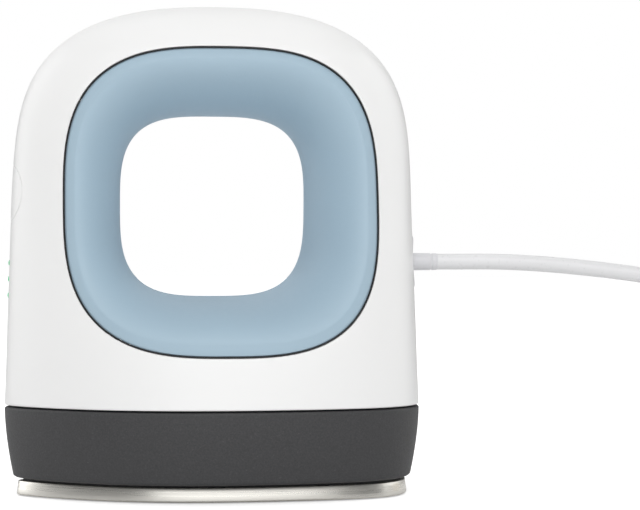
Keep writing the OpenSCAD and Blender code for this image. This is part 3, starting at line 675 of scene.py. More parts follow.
@dataclass
class HousingForm:
    """The housing's outer surface, the window in it, and the places where controls and cord pass through it."""

    length: float = 87.8
    depth: float = 63.4
    height: float = 103.1
    seam: float = 18.5
    reveal: float = 0.4
    wall: float = 2.2
    face_slope: float = 0.19
    end_slope: float = 0.032
    arch_start: float = 60.0
    arch_power: float = 3.86
    arch_root: float = 2.42
    crown_start: float = 91.0
    crown_power: float = 1.9
    crown_lean: float = 0.5
    handle_height: float = 61.3
    window: Triple = (65.2, 64.0, 3.0)
    window_shift: float = 0.3
    throat: Triple = (39.5, 38.2, 3.3)
    throat_drop: float = 0.5
    plan: Outline = Outline(0.3, 0.35)
    pinch_fade: float = 0.8
    foot_round: float = 0.35
    foot_heights: tuple[float, ...] = (0, 0.02, 0.06, 0.13, 0.22, 0.35, 0.6, 1.0, 1.6)
    rim_round: float = 0.3
    rim_steps: tuple[Pair, ...] = ((0.0, 2.0), (0.0, 0.32), (0.05, 0.13), (0.14, 0.04))
    straight_start: float = 2.4
    samples: tuple[int, int] = (800, 4000)
    round_sides: int = 96
    lamp_sides: int = 40
    foot_columns: int = 140
    side_columns: int = 112
    rows: int = 34
    button_height: float = 63.2
    lamps: tuple[float, ...] = (41.9, 45.3, 48.7)
    cord_height: float = 49.0
    tail: float = 42.92
    least_cosine: float = 0.7

    @property
    def foot(self) -> float:
        """Height of the housing's lower edge."""
        return self.seam + self.reveal

    def roll_over(self, z: Array, start: float, power: float, root: float) -> Array:
        """One below start, and above it (1 - k^power)^(1/root), where k runs from nought to one at the crown."""
        k = np.clip((z - start) / (self.height - start), 0, 1)
        return np.maximum(1 - k**power, 0) ** (1 / root)

    def half_length(self, z: Array) -> Array:
        """Half the length at a height."""
        return (self.length / 2 - self.end_slope * (z - self.seam)) * self.roll_over(
            z, self.arch_start, self.arch_power, self.arch_root)

    def half_depth(self, z: Array) -> Array:
        """Half the depth at a height."""
        return (self.depth / 2 - self.face_slope * (z - self.seam)) * self.roll_over(
            z, self.crown_start, self.crown_power, self.crown_power)

    def lean(self, z: Array) -> Array:
        """How far a level moves towards the tail."""
        return self.crown_lean * np.clip((z - self.arch_start) / (self.height - self.arch_start), 0, 1)

    def pinch(self, z: Array) -> Array:
        """The plan's pinch at a height, which fades towards the crown."""
        return self.plan.pinch * (1 - self.pinch_fade * (z - self.seam) / (self.height - self.seam))

    def section_y(self, x: Array, z: Array, a: Array, b: Array) -> Array:
        """Half the depth at x: b sqrt(1 - c^2) times the plan's fullness, where c is x as a share of a."""
        c = np.clip((x - self.lean(z)) / np.maximum(a, 1e-6), -1, 1)
        return b * np.sqrt(1 - c * c) * self.plan.fullness(c, self.pinch(z))

    def face_y(self, x: Array, z: Array) -> Array:
        """Half the depth of the outer surface at a point of the broad face."""
        return self.section_y(x, z, self.half_length(z), self.half_depth(z))

    def rim(self, t: Array) -> Array:
        """The window's rim by angle, as x and z."""
        return oval(*self.window, t) + [self.window_shift, self.handle_height]

    def throat_edge(self, t: Array) -> Array:
        """The opening at its narrowest by angle, as x and z."""
        return oval(*self.throat, t) + [0, self.handle_height - self.throat_drop]

    def inset_at_foot(self, z: Array) -> Array:
        """How far the rounded lower edge draws in: r - sqrt(r^2 - (r - height over the foot)^2)."""
        k = np.clip(self.foot_round - (z - self.foot), 0, self.foot_round)
        return self.foot_round - np.sqrt(np.maximum(self.foot_round**2 - k**2, 0))

    def squeezed(self, z: Array) -> Array:
        """The outer height that an inner height stands for: the arch is squeezed down by the wall."""
        share = (z - self.arch_start) / (self.height - self.wall - self.arch_start)
        return np.where(z <= self.arch_start, z, self.arch_start + share * (self.height - self.arch_start))

    def halves(self, z: Array, inner: bool) -> tuple[Array, Array]:
        """Half the length and depth of the outer skin, or of the inner one, at a height of the outer skin.

        Args:
            z: heights.
            inner: whether they are the inner skin's.
        Returns:
            Half the length and half the depth at each height.
        """
        a, b = self.half_length(z), self.half_depth(z)
        if inner:
            return a * (1 - self.wall / (self.length / 2)), b * (1 - self.wall / (self.depth / 2))
        inset = self.inset_at_foot(z)
        return a - inset, b - inset

    def side_heights(self) -> Array:
        """Heights of the outline's points up one side, close together at the foot and even along the arch.

        Returns:
            The heights, from the foot to the crown.
        """
        foot = self.foot + np.array(self.foot_heights)
        straight = np.linspace(self.foot + self.straight_start, self.arch_start, self.samples[0])[:-1]
        arch = np.sin(np.linspace(0, 1, self.samples[1]) * np.pi / 2) ** (2 / self.arch_power)
        fine = np.concatenate([straight, self.arch_start + (self.height - self.arch_start) * arch])
        run = np.concatenate([[0], np.cumsum(np.hypot(np.diff(self.half_length(fine)), np.diff(fine)))])
        return np.concatenate([foot, np.interp(np.linspace(0, run[-1], self.side_columns), run, fine)])

    def outline(self, inner: bool) -> tuple[Array, Array]:
        """The outline as seen from the front, counter-clockwise from the lower left corner.

        Args:
            inner: whether it is the inner skin's.
        Returns:
            x and z by place, and whether the place is on the open lower edge.
        """
        low_t = np.linspace(np.pi, 2 * np.pi, self.foot_columns + 1)[:-1]
        right = self.side_heights()
        reach, _ = self.halves(right, inner)
        low = reach[0] * np.cos(low_t)
        z = right
        if inner:
            share = (right - self.arch_start) / (self.height - self.arch_start)
            z = np.where(right <= self.arch_start, right, right - share * self.wall)
        up = beside(reach + self.lean(right), z)
        down = beside(-reach + self.lean(right), z)[::-1][1:-1]
        every = np.concatenate([beside(low, self.foot), up, down])
        return every, np.arange(len(every)) <= self.foot_columns

    def skin(self, inner: bool = False) -> Array:
        """The front half of the outer or inner skin, from the window's rim out to the outline.

        A point at share s between rim and outline lies at 1 - (1-s)^2 of the way, and its depth is the face's.

        Args:
            inner: whether it is the inner skin.
        Returns:
            The grid of points.
        """
        target, open_edge = self.outline(inner)
        outer, _ = self.outline(False)
        angle = np.arctan2(outer[:, 1] - self.handle_height, outer[:, 0] - self.window_shift)
        w, h, p = self.window
        reach = ((np.abs(np.cos(angle)) / (w / 2)) ** p + (np.abs(np.sin(angle)) / (h / 2)) ** p) ** (-1 / p)
        way = beside(np.cos(angle), np.sin(angle))
        rim = [self.window_shift, self.handle_height] + reach[:, None] * way
        start = rim + self.rim_round * way
        share = 1 - (1 - np.linspace(0, 1, self.rows + 1)) ** 2
        x, height = np.moveaxis(start + share[:, None, None] * (target - start), -1, 0)
        z = self.squeezed(height) if inner else height
        y = self.section_y(x, z, *self.halves(z, inner))
        y[-1, ~open_edge] = 0
        grid = beside(x, -y, height)
        if inner:
            return grid
        rolled = []
        for out, drop in self.rim_steps:
            x, z = (rim + out * way).T
            rolled.append(beside(x, drop - self.face_y(x, z), z))
        return np.concatenate([np.stack(rolled), grid])

    def end_x(self, y: Array, z: Array, side: int) -> Array:
        """Where the surface of one end lies, found by halving the range of the cosine.

        Args:
            y: depths.
            z: heights.
            side: 1 for the tail end, -1 for the tip end.
        Returns:
            x at each depth and height.
        """
        low = np.full(np.broadcast(y, z).shape, self.least_cosine)
        high = np.ones_like(low)
        for _ in range(HALVINGS):
            mid = (low + high) / 2
            depth = self.half_depth(z) * np.sqrt(1 - mid**2) * self.plan.fullness(side * mid, self.pinch(z))
            outside = depth < np.abs(y)
            high = np.where(outside, mid, high)
            low = np.where(outside, low, mid)
        return side * self.half_length(z) * (low + high) / 2 + self.lean(z)


FORM = HousingForm()


# Camera, light and floor


@dataclass(frozen=True)
class Softbox:
    """A soft lamp: its place in metres, its width and height, and its power in watts."""

    place: Triple
    size: Pair
    power: float


@dataclass
class Studio:
    """Camera at the photograph's view, pale floor, bright backdrop and soft lamps all round, in metres."""

    place: Triple = (-0.05097, -0.50795, 0.0463)
    turn: float = -0.145
    pitch: float = 0.008
    lens: float = 134.7
    sensor: float = 36.0
    shift: float = -0.0008
    aim: Triple = (0, 0, 0.055)
    floor_half: float = 30.0
    floor_drop: float = 0.0002
    world_level: float = 0.17
    floor_glow: float = 0.5
    glow_reach: Pair = (0.2, 0.8)
    lamps: tuple[Softbox, ...] = (
        Softbox((-0.55, -0.75, 0.75), (0.7, 0.7), 1.7), Softbox((0.1, -0.9, 0.75), (0.9, 0.8), 6.1),
        Softbox((-0.03, -0.95, 0.14), (1.15, 0.35), 1.4), Softbox((0.0, 0.1, 1.0), (0.9, 0.9), 2.2),
        Softbox((-0.8, 0.42, 0.25), (0.65, 1.1), 3.9), Softbox((0.87, 0.24, 0.25), (0.75, 1.1), 2.9),
        Softbox((0.0, 0.8, 0.7), (1.2, 0.9), 2.0))

    def build(self) -> None:
        """Makes camera, world, lamps and floor."""
        self.camera()
        self.world()
        for softbox in self.lamps:
            self.lamp(softbox)
        self.floor()

    def camera(self) -> None:
        """The camera, level but for a slight pitch."""
        data = bpy.data.cameras.new("camera")
        data.lens = self.lens
        data.sensor_width = self.sensor
        data.sensor_fit = "HORIZONTAL"
        data.shift_x = self.shift
        data.clip_start = 0.01
        obj = linked("camera", data)
        obj.location = self.place
        obj.rotation_euler = (math.pi / 2 + self.pitch, 0, self.turn)
        bpy.context.scene.camera = obj

    def world(self) -> None:
        """Even soft light, with a white ground behind the object for camera rays."""
        world = bpy.data.worlds.new("studio_world")
        bpy.context.scene.world = world
        sheet = NodeSheet(world, "Background")
        sheet.set(Color=(1, 1, 1, 1), Strength=sheet.ramp(sheet.camera_ray(), 0, 1, self.world_level, 1))

    def lamp(self, softbox: Softbox) -> None:
        """An area lamp aimed at the handle.

        Args:
            softbox: its place, size and power.
        """
        data = bpy.data.lights.new("softbox", "AREA")
        data.shape = "RECTANGLE"
        data.size, data.size_y = softbox.size
        data.energy = softbox.power
        obj = linked("softbox", data)
        obj.location = softbox.place
        aim = Vector(self.aim) - Vector(softbox.place)
        obj.rotation_euler = aim.to_track_quat("-Z", "Y").to_euler()

    def floor(self) -> None:
        """A pale floor that shows as white to the camera where nothing shades it."""
        mesh = bpy.data.meshes.new("floor")
        r, z = self.floor_half, -self.floor_drop
        mesh.from_pydata([(-r, -r, z), (r, -r, z), (r, r, z), (-r, r, z)], [], [(0, 1, 2, 3)])
        paper = bpy.data.materials.new("floor_paper")
        sheet = NodeSheet(paper)
        away = sheet.add("ShaderNodeVectorMath", Vector=sheet.add("ShaderNodeTexCoord").outputs["Object"])
        away.operation = "LENGTH"
        white = sheet.ramp(away.outputs["Value"], *self.glow_reach, self.floor_glow, 1)
        sheet.set(Base_Color=(0.9, 0.9, 0.9, 1), Roughness=0.9, Emission_Color=(1, 1, 1, 1),
                  Emission_Strength=sheet.ramp(sheet.camera_ray(), 0, 1, 0, white), Specular_IOR_Level=0)
        mesh.materials.append(paper)
        linked("floor", mesh)


# Cord, coil, tie and plug


@dataclass
class MainsCord:
    """The cord from the boot to the plug, with the coil that is put away beside the press."""

    exit: Triple = (48.52, 0.0, 49.0)
    diameter: float = 3.4
    free_route: tuple[Triple, ...] = (
        (61, 0, 49), (69, 0, 48.7), (78, -0.2, 48), (87, -0.7, 47), (96, -1.3, 45.6), (105, -2.4, 42.6),
        (114, -4, 37), (123, -6.5, 29.2), (132, -10, 20.4), (141, -14.4, 12), (151, -19, 6), (162, -23, 3.1),
        (173, -25.3, 2.3))
    plug_route: tuple[Triple, ...] = ((174, 26.2, 12.8), (166, 26.4, 10.2), (159, 26.4, 8.2))
    coil_x: float = 186.0
    coil_inner: float = 13.6
    coil_pitch: float = 3.9
    coil_layers: int = 4
    coil_turns: float = 12.5
    coil_rise: float = 3.9
    coil_floor: float = 2.2
    rings_per_turn: int = 40
    steps: int = 8
    sides: int = 16
    plug_face: Triple = (150.4, 26.4, 7.6)
    plug_length: float = 27.0
    plug_half: Pair = (12.4, 7.6)
    plug_power: float = 3.0
    plug_rows: tuple[Triple, ...] = (
        (0, 0.135, 0.235), (0.012, 0.15, 0.25), (0.05, 0.19, 0.32), (0.07, 0.165, 0.28), (0.1, 0.165, 0.28),
        (0.12, 0.21, 0.36), (0.15, 0.215, 0.36), (0.17, 0.18, 0.31), (0.2, 0.18, 0.31), (0.22, 0.24, 0.41),
        (0.26, 0.27, 0.45), (0.3, 0.38, 0.6), (0.36, 0.57, 0.78), (0.44, 0.8, 0.92), (0.53, 0.92, 0.98),
        (0.62, 0.97, 1.0), (0.86, 1.0, 1.0), (0.93, 1.0, 0.99), (0.97, 0.97, 0.96), (0.992, 0.93, 0.91),
        (1.0, 0.88, 0.85))
    strap: Pair = (6.0, 0.45)
    strap_gap: float = 0.5
    strap_lift: float = 0.3
    strap_edge: Pair = (0.1, 0.12)
    strap_power: float = 9.0

    @property
    def coil_outer(self) -> float:
        """Radius of the widest turn's middle line."""
        return self.coil_inner + self.coil_pitch * self.coil_turns / self.coil_layers

    def coil_points(self, turns: Array) -> Array:
        """The coil's middle line: its radius runs in and out, and it climbs a layer round each reversal.

        Args:
            turns: how many turns the line has made.
        Returns:
            The points there.
        """
        per = self.coil_turns / self.coil_layers
        layer = turns / per
        k = layer - 2 * np.floor(layer / 2)
        radius = self.coil_outer + (self.coil_inner - self.coil_outer) * np.where(k <= 1, k, 2 - k)
        height = np.full_like(turns, self.coil_floor)
        for n in range(1, self.coil_layers):
            q = np.clip((turns - n * per) * 2 + 0.5, 0, 1)
            height = height + self.coil_rise * q * q * (3 - 2 * q)
        t = 2 * np.pi * turns - np.pi / 2
        return beside(self.coil_x + radius * np.cos(t), radius * np.sin(t), height)

    def way(self) -> Array:
        """The whole middle line, from the boot to the plug.

        Returns:
            Its points.
        """
        d = self.diameter
        turn = 1 / 24
        first, second, before, last = self.coil_points(
            np.array([0, turn, self.coil_turns - turn, self.coil_turns]))
        into = (second - first) / np.linalg.norm(second - first)
        out = (last - before) / np.linalg.norm(last - before)
        start = np.array(self.exit)
        coil_start, coil_end = first - d * into, last + d * out
        free = [start, start + [d, 0, 0], *self.free_route, coil_start - d * into, coil_start]
        face = np.array(self.plug_face)
        lead = [coil_end, coil_end + d * out, *self.plug_route, face + [d, 0, 0], face]
        count = int(self.coil_turns * self.rings_per_turn)
        coil = self.coil_points(np.linspace(0, self.coil_turns, count + 1))
        return np.concatenate([smooth_way(free, self.steps), coil, smooth_way(lead, self.steps)])

    def build(self, nodes: dict[str, bpy.types.Object]) -> None:
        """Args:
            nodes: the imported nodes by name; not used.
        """
        way = self.way()
        cord = MeshData().add_skin(tube_rings(way, self.diameter / 2, self.sides), Ends.CAPPED).piece(
            "mains_cord", "cord_pvc", ["power_cord", "cord_coil", "plug_cord"], CORD)
        tie = self.tie()
        plug = self.plug()

    def tie(self) -> bpy.types.Object:
        """A soft rubber strap looped round the turns on the far side, with rounded edges.

        Returns:
            The piece.
        """
        r = self.diameter / 2
        gap = r + self.strap_gap
        inner, outer = self.coil_x + self.coil_inner - gap, self.coil_x + self.coil_outer + gap
        top = self.coil_floor + (self.coil_layers - 1) * self.coil_rise + r + self.strap_lift
        width, thick = self.strap[0] / 2, self.strap[1]
        x, z = (inner + outer) / 2, (top + thick) / 2
        loop = oval(2, 2, self.strap_power, full_turn(72))
        narrow, low, high = width - self.strap_edge[0], self.strap_edge[1], thick - self.strap_edge[1]
        section = [(-narrow, 0), (narrow, 0), (width, low), (width, high), (narrow, thick), (-narrow, thick),
                   (-width, high), (-width, low)]
        rings = [beside(x + ((outer - inner) / 2 + out) * loop[:, 0], y,
                        z + ((top - thick) / 2 + out) * loop[:, 1]) for y, out in section]
        return MeshData().add_skin(rings, Ends.JOINED).piece("cord_tie", "black_seal", ["coil_tie"], STRAP_RUBBER_AND_GAP_SHADE)

    def plug(self) -> bpy.types.Object:
        """The plug's moulded body: rounded rectangles along its axis, with a ribbed neck by the cord.

        Returns:
            The piece.
        """
        rounded = oval(2, 2, self.plug_power, full_turn(64))
        x, y, z = self.plug_face
        rings = [beside(x - k * self.plug_length, y + self.plug_half[0] * w * rounded[:, 0],
                        z + self.plug_half[1] * h * rounded[:, 1]) for k, w, h in self.plug_rows]
        return MeshData().add_skin(rings, Ends.CAPPED).piece("plug_moulding", "cord_pvc", ["plug_body"], CORD)


# Housing, grips and the near-black rings round them


@dataclass
class Housing:
    """The gloss housing with its window, bores and tail recess."""

    button_bore: float = 12.2
    lamp_bore: float = 1.4
    tail_bore: float = 8.1
    tail_recess: Pair = (12.9, 1.5)
    tip_side: float = -50.0
    bore_end: float = -30.0
    lamp_end: float = -36.0
    tail_side: Pair = (34.0, 52.0)
    sharp: float = 32.0

    def build(self) -> None:
        """Makes the outer and inner skins, joins them at the rim and the foot, and cuts the round holes."""
        outer, inner = FORM.skin(), FORM.skin(inner=True)
        _, open_edge = FORM.outline(False)
        last = np.flatnonzero(open_edge)[:-1]
        skins = np.concatenate([inner[::-1], outer])
        rings, columns, _ = skins.shape
        foot = (rings - 1) * columns + last
        base = beside(last, last + 1, foot + 1, foot)
        faces = np.concatenate([ring_faces(rings, columns)[:, ::-1], base])
        data = MeshData()
        data.add(skins, faces)
        data.add(skins * [1, -1, 1], faces[:, ::-1])
        piece = data.piece("gloss_housing", "white_shell", ["outer_shell"], WHITE, turn=False)
        mend(piece.data, merge=True)
        self.cut(piece)

    def cut(self, piece: bpy.types.Object) -> None:
        """Cuts the holes and keeps the result as the piece's mesh.

        Args:
            piece: the housing.
        """
        tools = self.tools()
        cut = piece.modifiers.new("bores", "BOOLEAN")
        cut.operation = "DIFFERENCE"
        cut.solver = "EXACT"
        cut.object = tools
        graph = bpy.context.evaluated_depsgraph_get()
        mesh = bpy.data.meshes.new_from_object(piece.evaluated_get(graph))
        piece.modifiers.clear()
        piece.data = mesh
        smooth(mesh, self.sharp)
        bpy.data.objects.remove(tools)

    def tools(self) -> bpy.types.Object:
        """Round tools along X for the button, the lamps and the tail recess, which reach well outside the wall.

        Returns:
            One object that holds them all.
        """
        data = MeshData()
        holes = [(self.button_bore, FORM.button_height, self.bore_end, FORM.round_sides)]
        holes += [(self.lamp_bore, z, self.lamp_end, FORM.lamp_sides) for z in FORM.lamps]
        for bore, z, end, sides in holes:
            data.add_skin(turned([(bore / 2, self.tip_side), (bore / 2, end)], sides, z), Ends.CAPPED)
        small, large = self.tail_bore / 2, self.tail_recess[0] / 2
        step = FORM.tail - self.tail_recess[1]
        profile = [(small, self.tail_side[0]), (small, step), (large, step), (large, self.tail_side[1])]
        data.add_skin(turned(profile, FORM.round_sides, FORM.cord_height), Ends.CAPPED)
        mesh = data.mesh("tools")
        mend(mesh)
        return linked("tools", mesh)


@dataclass
class Grips:
    """The two blue grips that roll from the window's rim into the opening, and the near-black rings round them,
    whose colour is painted shade for the gap at the rim.
    """

    wall: float = 2.0
    band: float = 2.3
    band_share: float = 0.1
    bevel: float = 0.35
    crease: float = 0.25
    roll: float = 3.6
    shade_ring_width: float = 0.3
    shade_ring_top: tuple[Pair, ...] = ((0, -0.2), (0.12, -0.1), (0.5, -0.06), (0.88, -0.1), (1, -0.2))
    fit: float = 0.05
    fullness: float = 0.62
    landing: float = 2.0
    edge: Pair = (0.14, 0.16)
    back_share: float = 0.18
    step: float = 0.02
    stations: int = 288
    band_steps: int = 7
    lip_steps: int = 49
    back_steps: int = 16
    sharp: float = 40.0

    @property
    def inset(self) -> float:
        """Gap from the window's rim to the grip, which the near-black ring fills."""
        return self.shade_ring_width + 2 * self.fit

    def build(self) -> None:
        """Makes each grip and its near-black ring."""
        for side, name in ((-1, "front"), (1, "rear")):
            self.grip(side, name)
            self.ring(side, name)

    def frame(self) -> tuple[Array, Array, Array, Array, Array]:
        """Rim points, way out, distance to the throat, depth and growth of depth, for each station.

        Returns:
            The five, in that order.
        """
        t = full_turn(self.stations)
        rim, throat = FORM.rim(t), FORM.throat_edge(t)
        d = np.linalg.norm(rim - throat, axis=1)
        out = (rim - throat) / d[:, None]
        inward = rim - out
        f = FORM.face_y(rim[:, 0], rim[:, 1])
        return rim, out, d, f, FORM.face_y(inward[:, 0], inward[:, 1]) - f

    def lip(self, k: Array, d: Array, f: Array, m: Array) -> Array:
        """The lip's section: a band that drops slightly to the near-black ring, then a cubic through four points to
        the throat.

        Args:
            k: shares of the way.
            d: distance from rim to throat, by station.
            f: depth at the rim.
            m: growth of the depth going in.
        Returns:
            Distance out from the rim and depth, by station and share.
        """
        start = beside(-self.inset, f + m * self.inset - self.bevel)
        p0 = start + self.band * beside(-1.0, m) / np.sqrt(1 + m * m)[:, None] + [0, self.bevel]
        p1 = p0 + self.roll * beside(-1.0, self.crease * m)
        p2, p3 = beside(-d, self.fullness * f), beside(-d, self.fit)
        k = k[None, :, None]
        q = np.maximum(0, (k - self.band_share) / (1 - self.band_share))
        j = 1 - q
        roll = j**3 * p0[:, None] + 3 * j * j * q * p1[:, None] + 3 * j * q * q * p2[:, None] + q**3 * p3[:, None]
        flat = start[:, None] + np.minimum(k / self.band_share, 1) * (p0 - start)[:, None]
        return np.where(k <= self.band_share, flat, roll)

    def carried(self, section: Array, side: int) -> Array:
        """Sections carried round the opening, as points by station and place.

        Args:
            section: distance out and depth, by station and place.
            side: -1 for the front, 1 for the rear.
        Returns:
            The points.
        """
        rim, out, *_ = self.frame()
        flat = rim[:, None] + out[:, None] * section[..., :1]
        return beside(flat[..., 0], side * section[..., 1], flat[..., 1])

    def grip(self, side: int, name: str) -> None:
        """One grip: its lip, and a hidden side one wall behind it.

        Args:
            side: -1 for the front, 1 for the rear.
            name: the side's name.
        """
        _, _, d, f, m = self.frame()
        k = np.concatenate([np.linspace(0, self.band_share, self.band_steps),
                            np.linspace(self.band_share, 1, self.lip_steps)[1:]])
        edge_in, edge_down = self.edge
        shoulder = f + m * self.inset
        edge = beside(-self.inset, shoulder - edge_down - self.bevel)
        corner = beside(-self.inset, shoulder - self.landing + self.fit)
        face = self.lip(k, d, f, m)
        face[:, 0, 0] -= edge_in
        q = np.linspace(1, self.back_share, self.back_steps)
        ahead = self.lip(np.minimum(1, q + self.step), d, f, m) - self.lip(q - self.step, d, f, m)
        ahead /= np.linalg.norm(ahead, axis=-1, keepdims=True)
        back = self.lip(q, d, f, m) + self.wall * beside(-ahead[..., 1], ahead[..., 0])
        back[..., 1] = np.maximum(back[..., 1], self.fit)
        back[:, 0] = beside(self.wall - d, self.fit)
        section = np.concatenate([edge[:, None], face, back, corner[:, None]], 1)
        MeshData().add_skin(self.carried(section, side), Ends.JOINED).piece(
            f"{name}_blue_grip", "blue_grip", [f"{name}_grip"], BLUE, sharp=self.sharp)

    def ring(self, side: int, name: str) -> None:
        """One near-black ring with a rounded top, just under the surface: its colour is painted shade for the gap
        round the rim.

        Args:
            side: -1 for the front, 1 for the rear.
            name: the side's name.
        """
        _, _, _, f, m = self.frame()
        foot = 2 * self.fit - self.landing
        section = []
        for share, rise in ((1, foot), (0, foot), *self.shade_ring_top):
            x = -self.fit - share * self.shade_ring_width
            section.append(beside(x, f - m * x + rise))
        # The ring's near-black colour is painted shade for the gap between rim and grip.
        MeshData().add_skin(self.carried(np.stack(section, 1), side), Ends.JOINED).piece(
            f"{name}_gap_shade_ring", "black_seal", [f"{name}_grip_seal"], STRAP_RUBBER_AND_GAP_SHADE)


# Skirt, gasket and plate


@dataclass
class Base:
    """Heat-proof skirt, the gasket in the neck, and the heated plate."""

    sides: int = 288
    foot: float = 3.8
    wall: float = 2.4
    tuck: float = 1.9
    tuck_power: float = 1.7
    rounds: Pair = (0.5, 0.35)
    round_shares: Pair = (0.034, 0.026)
    inner_share: float = 0.45
    low_shares: tuple[float, ...] = (0, 0.005, 0.013, 0.022, 0.035)
    middle_shares: tuple[float, float, int] = (0.06, 0.95, 30)
    high_shares: tuple[float, ...] = (0.968, 0.98, 0.99, 0.996, 1.0)
    chamfers: Pair = (0.4, 0.2)
    tongue_gap: float = 0.15
    tongue_wall: float = 1.5
    tongue_top: float = 21.9
    ledge_top: float = 6.95
    ledge: Pair = (-1.1, 2.9)
    plate: Pair = (82.7, 50.4)
    rim: float = 3.0
    lower_round: float = 0.4
    draft: float = 0.3
    pedestal: Pair = (3.4, 5.6)
    plate_plan: Outline = Outline(0.5, 0.48)
    posts: tuple[Pair, ...] = ((-20, 20.06), (22, 21.44), (-20, -20.06), (22, -21.44))
    neck: tuple[Pair, ...] = (
        (1.2, 3.0), (1.35, 3.2), (1.4, 3.4), (1.35, 3.6), (1.2, 3.8), (3.1, 3.8), (3.1, 3.0))
    post_bore: float = 1.35
    post_radius: float = 3.0
    post_top: float = 12.3

    def build(self) -> None:
        """Makes the three pieces."""
        self.skirt()
        self.gasket()
        self.sole()

    def seam_ring(self, inset: float, z: float) -> Array:
        """The housing's seam plan drawn in by an inset, at a height."""
        return FORM.plan.ring(FORM.length / 2 - inset, FORM.depth / 2 - inset, z, self.sides)

    def plate_ring(self, inset: float, z: float) -> Array:
        """The plate's plan drawn in by an inset, at a height."""
        return self.plate_plan.ring(self.plate[0] / 2 - inset, self.plate[1] / 2 - inset, z, self.sides)

    def skirt(self) -> None:
        """Outer face, drawn in by tuck (1 - k)^power at share k of its height, then tongue, ledge and posts."""
        k = np.concatenate([self.low_shares, np.linspace(*self.middle_shares), self.high_shares])
        height = FORM.seam - self.foot
        low, high = (r * np.clip(1 - up / share, 0, 1) ** 2
                     for r, share, up in zip(self.rounds, self.round_shares, (k, 1 - k)))
        rings = [self.seam_ring(self.tuck * (1 - q) ** self.tuck_power + a + b, self.foot + height * q)
                 for q, a, b in zip(k, low, high)]
        tongue = FORM.wall + self.tongue_gap
        inside = tongue + self.tongue_wall
        under = self.tuck * (1 - self.inner_share) ** self.tuck_power + self.wall + 0.3
        cut, post_cut = self.chamfers
        rings += [self.seam_ring(inset, z) for inset, z in (
            (tongue, FORM.seam), (tongue, self.tongue_top - cut), (tongue + cut, self.tongue_top),
            (inside, self.tongue_top), (inside, FORM.seam - 2), (under, self.foot + height * self.inner_share))]
        outer, inner = self.ledge
        rings += [self.plate_ring(inset, z) for inset, z in (
            (outer, self.ledge_top), (inner, self.ledge_top), (inner, self.foot))]
        data = MeshData().add_skin(rings, Ends.JOINED)
        t = full_turn(40)
        bore, radius, top = self.post_bore, self.post_radius, self.post_top
        column = [(bore, self.ledge_top), (radius, self.ledge_top - 1), (radius, top - post_cut),
                  (radius - post_cut, top), (bore, top)]
        for x, y in self.posts:
            data.add_skin([beside(x + r * np.cos(t), y + r * np.sin(t), z) for r, z in column], Ends.JOINED)
        data.piece("dark_skirt", "skirt_plastic", ["base_skirt"], SKIRT)

    def gasket(self) -> None:
        """A soft ring in the neck between plate and skirt, with a hollowed outer face."""
        rings = [self.plate_ring(inset, z) for inset, z in self.neck]
        MeshData().add_skin(rings, Ends.JOINED).piece("neck_gasket", "gasket_silicone", ["plate_gasket"], GASKET)

    def sole(self) -> None:
        """The plate: coated sole, bright rim side with a slight draft, and the raised middle it screws to."""
        r = self.lower_round
        curve = [(r * (1 - math.sin(a)), r * (1 - math.cos(a))) for a in np.linspace(0, np.pi / 2, 9)]
        side = [(self.draft * q, r + (self.rim - 0.2 - r) * q) for q in (0.35, 0.7, 1.0)]
        top = [(self.draft + 0.06, self.rim - 0.06), (self.draft + 0.2, self.rim), (self.pedestal[0], self.rim),
               self.pedestal]
        rings = [self.plate_ring(i, z) for i, z in curve + side + top]
        plate = MeshData().add_skin(rings, Ends.CAPPED).piece(
            "bright_plate", "plate_aluminium", ["heat_plate"], ALUMINIUM, SOLE)
        faces = plate.data.polygons
        for coated in [*faces[:self.sides], faces[len(faces) - 2]]:
            coated.material_index = 1


# Controls and cord exit


